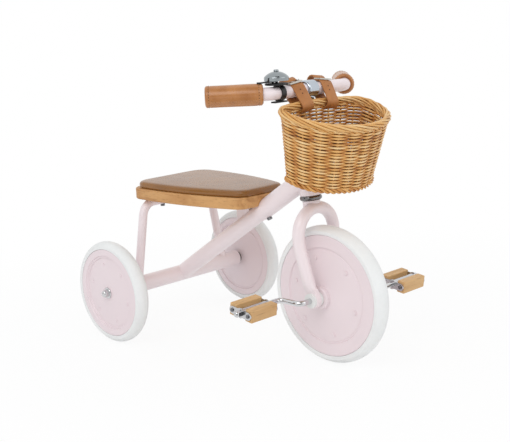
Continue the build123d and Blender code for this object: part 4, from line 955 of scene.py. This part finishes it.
def build_grip(name, side):
    axes = grip_axes(side)
    grip_leather(name, axes)
    threads = Strands()
    holes = Strands()
    for end in (END_STITCH_AT, GRIP_LENGTH - END_STITCH_AT):
        for k in range(END_STITCHES):
            turn = 2 * math.pi * (k + 0.5) / END_STITCHES
            stitch(threads, axes, end, turn, END_STITCH, 0.0)
            stitch_hole(holes, axes, end, turn + math.pi / END_STITCHES)
    for k in range(SEAM_STITCHES):
        run = SEAM_START + k * SEAM_PITCH
        stitch(threads, axes, run, SEAM_TURN, SEAM_STITCH, SEAM_SLANT)
        stitch_hole(holes, axes, run, SEAM_TURN + SEAM_HOLE_TURN)
        stitch_hole(holes, axes, run, SEAM_TURN - SEAM_HOLE_TURN)
    threads.finish(name + "_grip_stitching", THREAD, "steering", slot="grip_cover")
    holes.finish(name + "_grip_stitch_holes", HOLE_SHADE, "steering", slot="grip_cover")


def belt(bar_radius, loop_radius, gap, drop):
    """The line of a belt round two circles, in the loop's own plane, in millimetres."""
    span = math.hypot(gap, drop)
    base = math.atan2(-drop, gap)
    spread = math.acos((bar_radius - loop_radius) / span)
    first, last = base + spread, base - spread + 2 * math.pi
    points = arc_points((0, 0), bar_radius, first, last, STRAP_BAR_STEPS)
    points += arc_points((gap, -drop), loop_radius, last, first + 2 * math.pi, STRAP_LOOP_STEPS)
    return points


def strap_tail():
    """The strap's free end: it leaves the buckle towards the rider and curls over."""
    line = []
    for i, (u, v) in enumerate(STRAP_TAIL):
        ahead = STRAP_TAIL[min(i + 1, len(STRAP_TAIL) - 1)]
        behind = STRAP_TAIL[max(i - 1, 0)]
        length = math.dist(ahead, behind)
        line.append((u, v, (ahead[1] - behind[1]) / length, -(ahead[0] - behind[0]) / length))
    return line


def strap_section():
    """The strap's cross-section: rounded edges, and a groove beside each edge of the outer face."""
    half, thick = STRAP_HALF, STRAP_HALF_THICK
    groove = half - STRAP_GROOVE_IN
    right = [(half - STRAP_ROUND, -thick), (half, -thick + STRAP_ROUND), (half, thick - STRAP_ROUND),
             (half - STRAP_ROUND, thick), (groove + STRAP_GROOVE_HALF, thick),
             (groove, thick - STRAP_GROOVE_DEPTH), (groove - STRAP_GROOVE_HALF, thick)]
    return right + [(-w, h) for w, h in reversed(right)]


def build_strap(name, side):
    origin = BAR + Vector((0, side * STRAP_OUT * MM, 0))
    lean = side * STRAP_LEAN
    x_dir = Vector((1, 0, 0))
    z_dir = Vector((0, -math.cos(lean), math.sin(lean)))
    y_dir = z_dir.cross(x_dir)
    line = evenly(belt(STRAP_BAR_R, STRAP_LOOP_R, STRAP_LOOP_AHEAD, STRAP_LOOP_DROP), STRAP_POINTS)
    section = strap_section()
    bm = bmesh.new()

    def place(u, v, w):
        return origin + x_dir * (u * MM) + y_dir * (v * MM) + z_dir * (w * MM)

    def band(points, closed):
        rings = []
        for u, v, nu, nv in points:
            rings.append([bm.verts.new(place(u + nu * h, v + nv * h, w)) for w, h in section])
        skin(bm, rings, closed)

    band(line, True)
    band(strap_tail(), False)
    bmesh.ops.recalc_face_normals(bm, faces=bm.faces)
    make_object(name + "_strap_leather", bm, STRAP, "steering",
                replaces=(name + "_strap",), slot="strap_leather")
    # The strap's holes are flat dark dots on its outer face: painted shade in place of holes.
    pits = Strands()
    for index in STRAP_HOLES:
        u, v, nu, nv = line[index]
        out = x_dir * nu + y_dir * nv
        centres = [place(u, v, 0) + out * (h * MM) for h in STRAP_HOLE_RISES]
        radii = [sized((STRAP_HOLE_R, STRAP_HOLE_R))] * 2
        pits.tube(centres, [z_dir] * 2, [out.cross(z_dir)] * 2, radii, 0.0, False, STRAP_HOLE_SIDES)
    pits.finish(name + "_strap_holes", HOLE_SHADE, "steering", slot="strap_leather")


def flat_piece(name, half, look):
    """A square sheet of the studio, with its own material."""
    bm = bmesh.new()
    bmesh.ops.create_grid(bm, x_segments=1, y_segments=1, size=half)
    mesh = bpy.data.meshes.new(name)
    bm.to_mesh(mesh)
    bm.free()
    mesh.materials.append(look)
    piece = bpy.data.objects.new(name, mesh)
    bpy.context.scene.collection.objects.link(piece)
    return piece


def aim(obj, place, target, axis):
    """Puts an object at a place, with one of its axes towards a target."""
    obj.location = place
    obj.rotation_mode = "QUATERNION"
    obj.rotation_quaternion = (Vector(target) - Vector(place)).to_track_quat(axis, "Y")


def larger(tree, a, b):
    """The larger of two values."""
    node = tree.nodes.new("ShaderNodeMath")
    node.operation = "MAXIMUM"
    tree.links.new(a, node.inputs[0])
    tree.links.new(b, node.inputs[1])
    return node.outputs[0]


def floor_look():
    """A white floor that keeps some of the object's shadow close by and none far off."""
    look = Look("floor_white", 0.9)
    look.bsdf.inputs["Base Color"].default_value = grey(0.97)
    glow = look.add("ShaderNodeEmission")
    glow.inputs["Strength"].default_value = 1.0
    paths = look.add("ShaderNodeLightPath")
    seen = larger(look.tree, paths.outputs["Is Camera Ray"], paths.outputs["Is Glossy Ray"])
    distance = look.add("ShaderNodeVectorMath", operation="LENGTH")
    look.link(look.coords(), distance.inputs[0])
    fade = look.add("ShaderNodeMapRange")
    for socket, value in FLOOR_FADE.items():
        fade.inputs[socket].default_value = value
    look.link(distance.outputs["Value"], fade.inputs["Value"])
    share = look.add("ShaderNodeMath", operation="MULTIPLY")
    look.link(seen, share.inputs[0])
    look.link(fade.outputs["Result"], share.inputs[1])
    both = look.add("ShaderNodeMixShader")
    look.link(share.outputs[0], both.inputs[0])
    look.link(look.bsdf.outputs[0], both.inputs[1])
    look.link(glow.outputs[0], both.inputs[2])
    look.link(both.outputs[0], look.tree.nodes["Material Output"].inputs["Surface"])
    return look.mat


def build_stage():
    ground = flat_piece("floor", FLOOR_HALF, floor_look())
    ground.location.z = -FLOOR_DROP


def build_world():
    """An even studio light, which the camera and reflections see as plain white."""
    world = bpy.data.worlds.new("studio")
    bpy.context.scene.world = world
    world.use_nodes = True
    tree = world.node_tree
    light = tree.nodes["Background"]
    light.inputs["Color"].default_value = (0.97, 0.985, 1.0, 1)
    light.inputs["Strength"].default_value = WORLD_LIGHT
    white = tree.nodes.new("ShaderNodeBackground")
    white.inputs["Color"].default_value = grey(1.0)
    white.inputs["Strength"].default_value = 1.0
    paths = tree.nodes.new("ShaderNodeLightPath")
    seen = larger(tree, paths.outputs["Is Camera Ray"], paths.outputs["Is Glossy Ray"])
    seen = larger(tree, seen, paths.outputs["Is Transmission Ray"])
    mixed = tree.nodes.new("ShaderNodeMixShader")
    tree.links.new(seen, mixed.inputs[0])
    tree.links.new(light.outputs[0], mixed.inputs[1])
    tree.links.new(white.outputs[0], mixed.inputs[2])
    tree.links.new(mixed.outputs[0], tree.nodes["World Output"].inputs["Surface"])


def dark_card(name, place, target, size):
    """A dark studio card that only reflections see, so that the plated pieces have something to mirror."""
    card = flat_piece(name, CARD_HALF, DARK_CARD)
    aim(card, place, target, "Z")
    card.scale = (size[0], size[1], 1)
    card.visible_camera = False
    card.visible_diffuse = False
    card.visible_shadow = False


def area_light(name, place, target, size, watts):
    data = bpy.data.lights.new(name, "AREA")
    data.shape = "RECTANGLE"
    data.size, data.size_y = size
    data.energy = watts
    lamp = bpy.data.objects.new(name, data)
    aim(lamp, place, target, "-Z")
    bpy.context.scene.collection.objects.link(lamp)


def build_camera():
    level = math.cos(CAMERA_DOWN)
    ahead = Vector((math.cos(CAMERA_TURN) * level, math.sin(CAMERA_TURN) * level, -math.sin(CAMERA_DOWN)))
    right = Vector((math.sin(CAMERA_TURN), -math.cos(CAMERA_TURN), 0))
    up = right.cross(ahead)
    rolled_right = right * math.cos(CAMERA_ROLL) + up * math.sin(CAMERA_ROLL)
    rolled_up = up * math.cos(CAMERA_ROLL) - right * math.sin(CAMERA_ROLL)
    data = bpy.data.cameras.new("camera")
    data.sensor_width = CAMERA_SENSOR
    data.lens = CAMERA_FOCAL_PX * CAMERA_SENSOR / CAMERA_WIDTH_PX
    data.clip_start, data.clip_end = CAMERA_CLIP
    camera = bpy.data.objects.new("camera", data)
    matrix = Matrix((rolled_right, rolled_up, -ahead)).transposed().to_4x4()
    matrix.translation = Vector(CAMERA_PLACE)
    camera.matrix_world = matrix
    bpy.context.scene.collection.objects.link(camera)
    bpy.context.scene.camera = camera


dress_nodes()
build_basket()
build_pad()
build_grip("right", -1)
build_grip("left", 1)
build_strap("right", -1)
build_strap("left", 1)
build_stage()
build_world()
dark_card("card_behind_camera", place=(2.5, -2.3, 1.0), target=(0.1, 0.0, 0.4), size=(2.6, 1.2))
dark_card("card_left", place=(-1.4, -2.6, 0.9), target=(0.0, 0.0, 0.3), size=(0.8, 2.4))
dark_card("card_above", place=(0.9, -0.4, 2.8), target=(0.1, 0.0, 0.3), size=(1.2, 1.6))
dark_card("card_low", place=(1.0, -1.0, 0.03), target=(1.0, -1.0, 1.0), size=(1.4, 1.4))
area_light("key", place=(0.9, -1.7, 1.9), target=(0.0, 0.0, 0.25), size=(1.6, 1.2), watts=15)
area_light("fill", place=(1.9, 0.7, 1.3), target=(0.0, 0.0, 0.25), size=(1.4, 1.4), watts=4)
build_camera()
bpy.context.scene.view_settings.view_transform = "Standard"
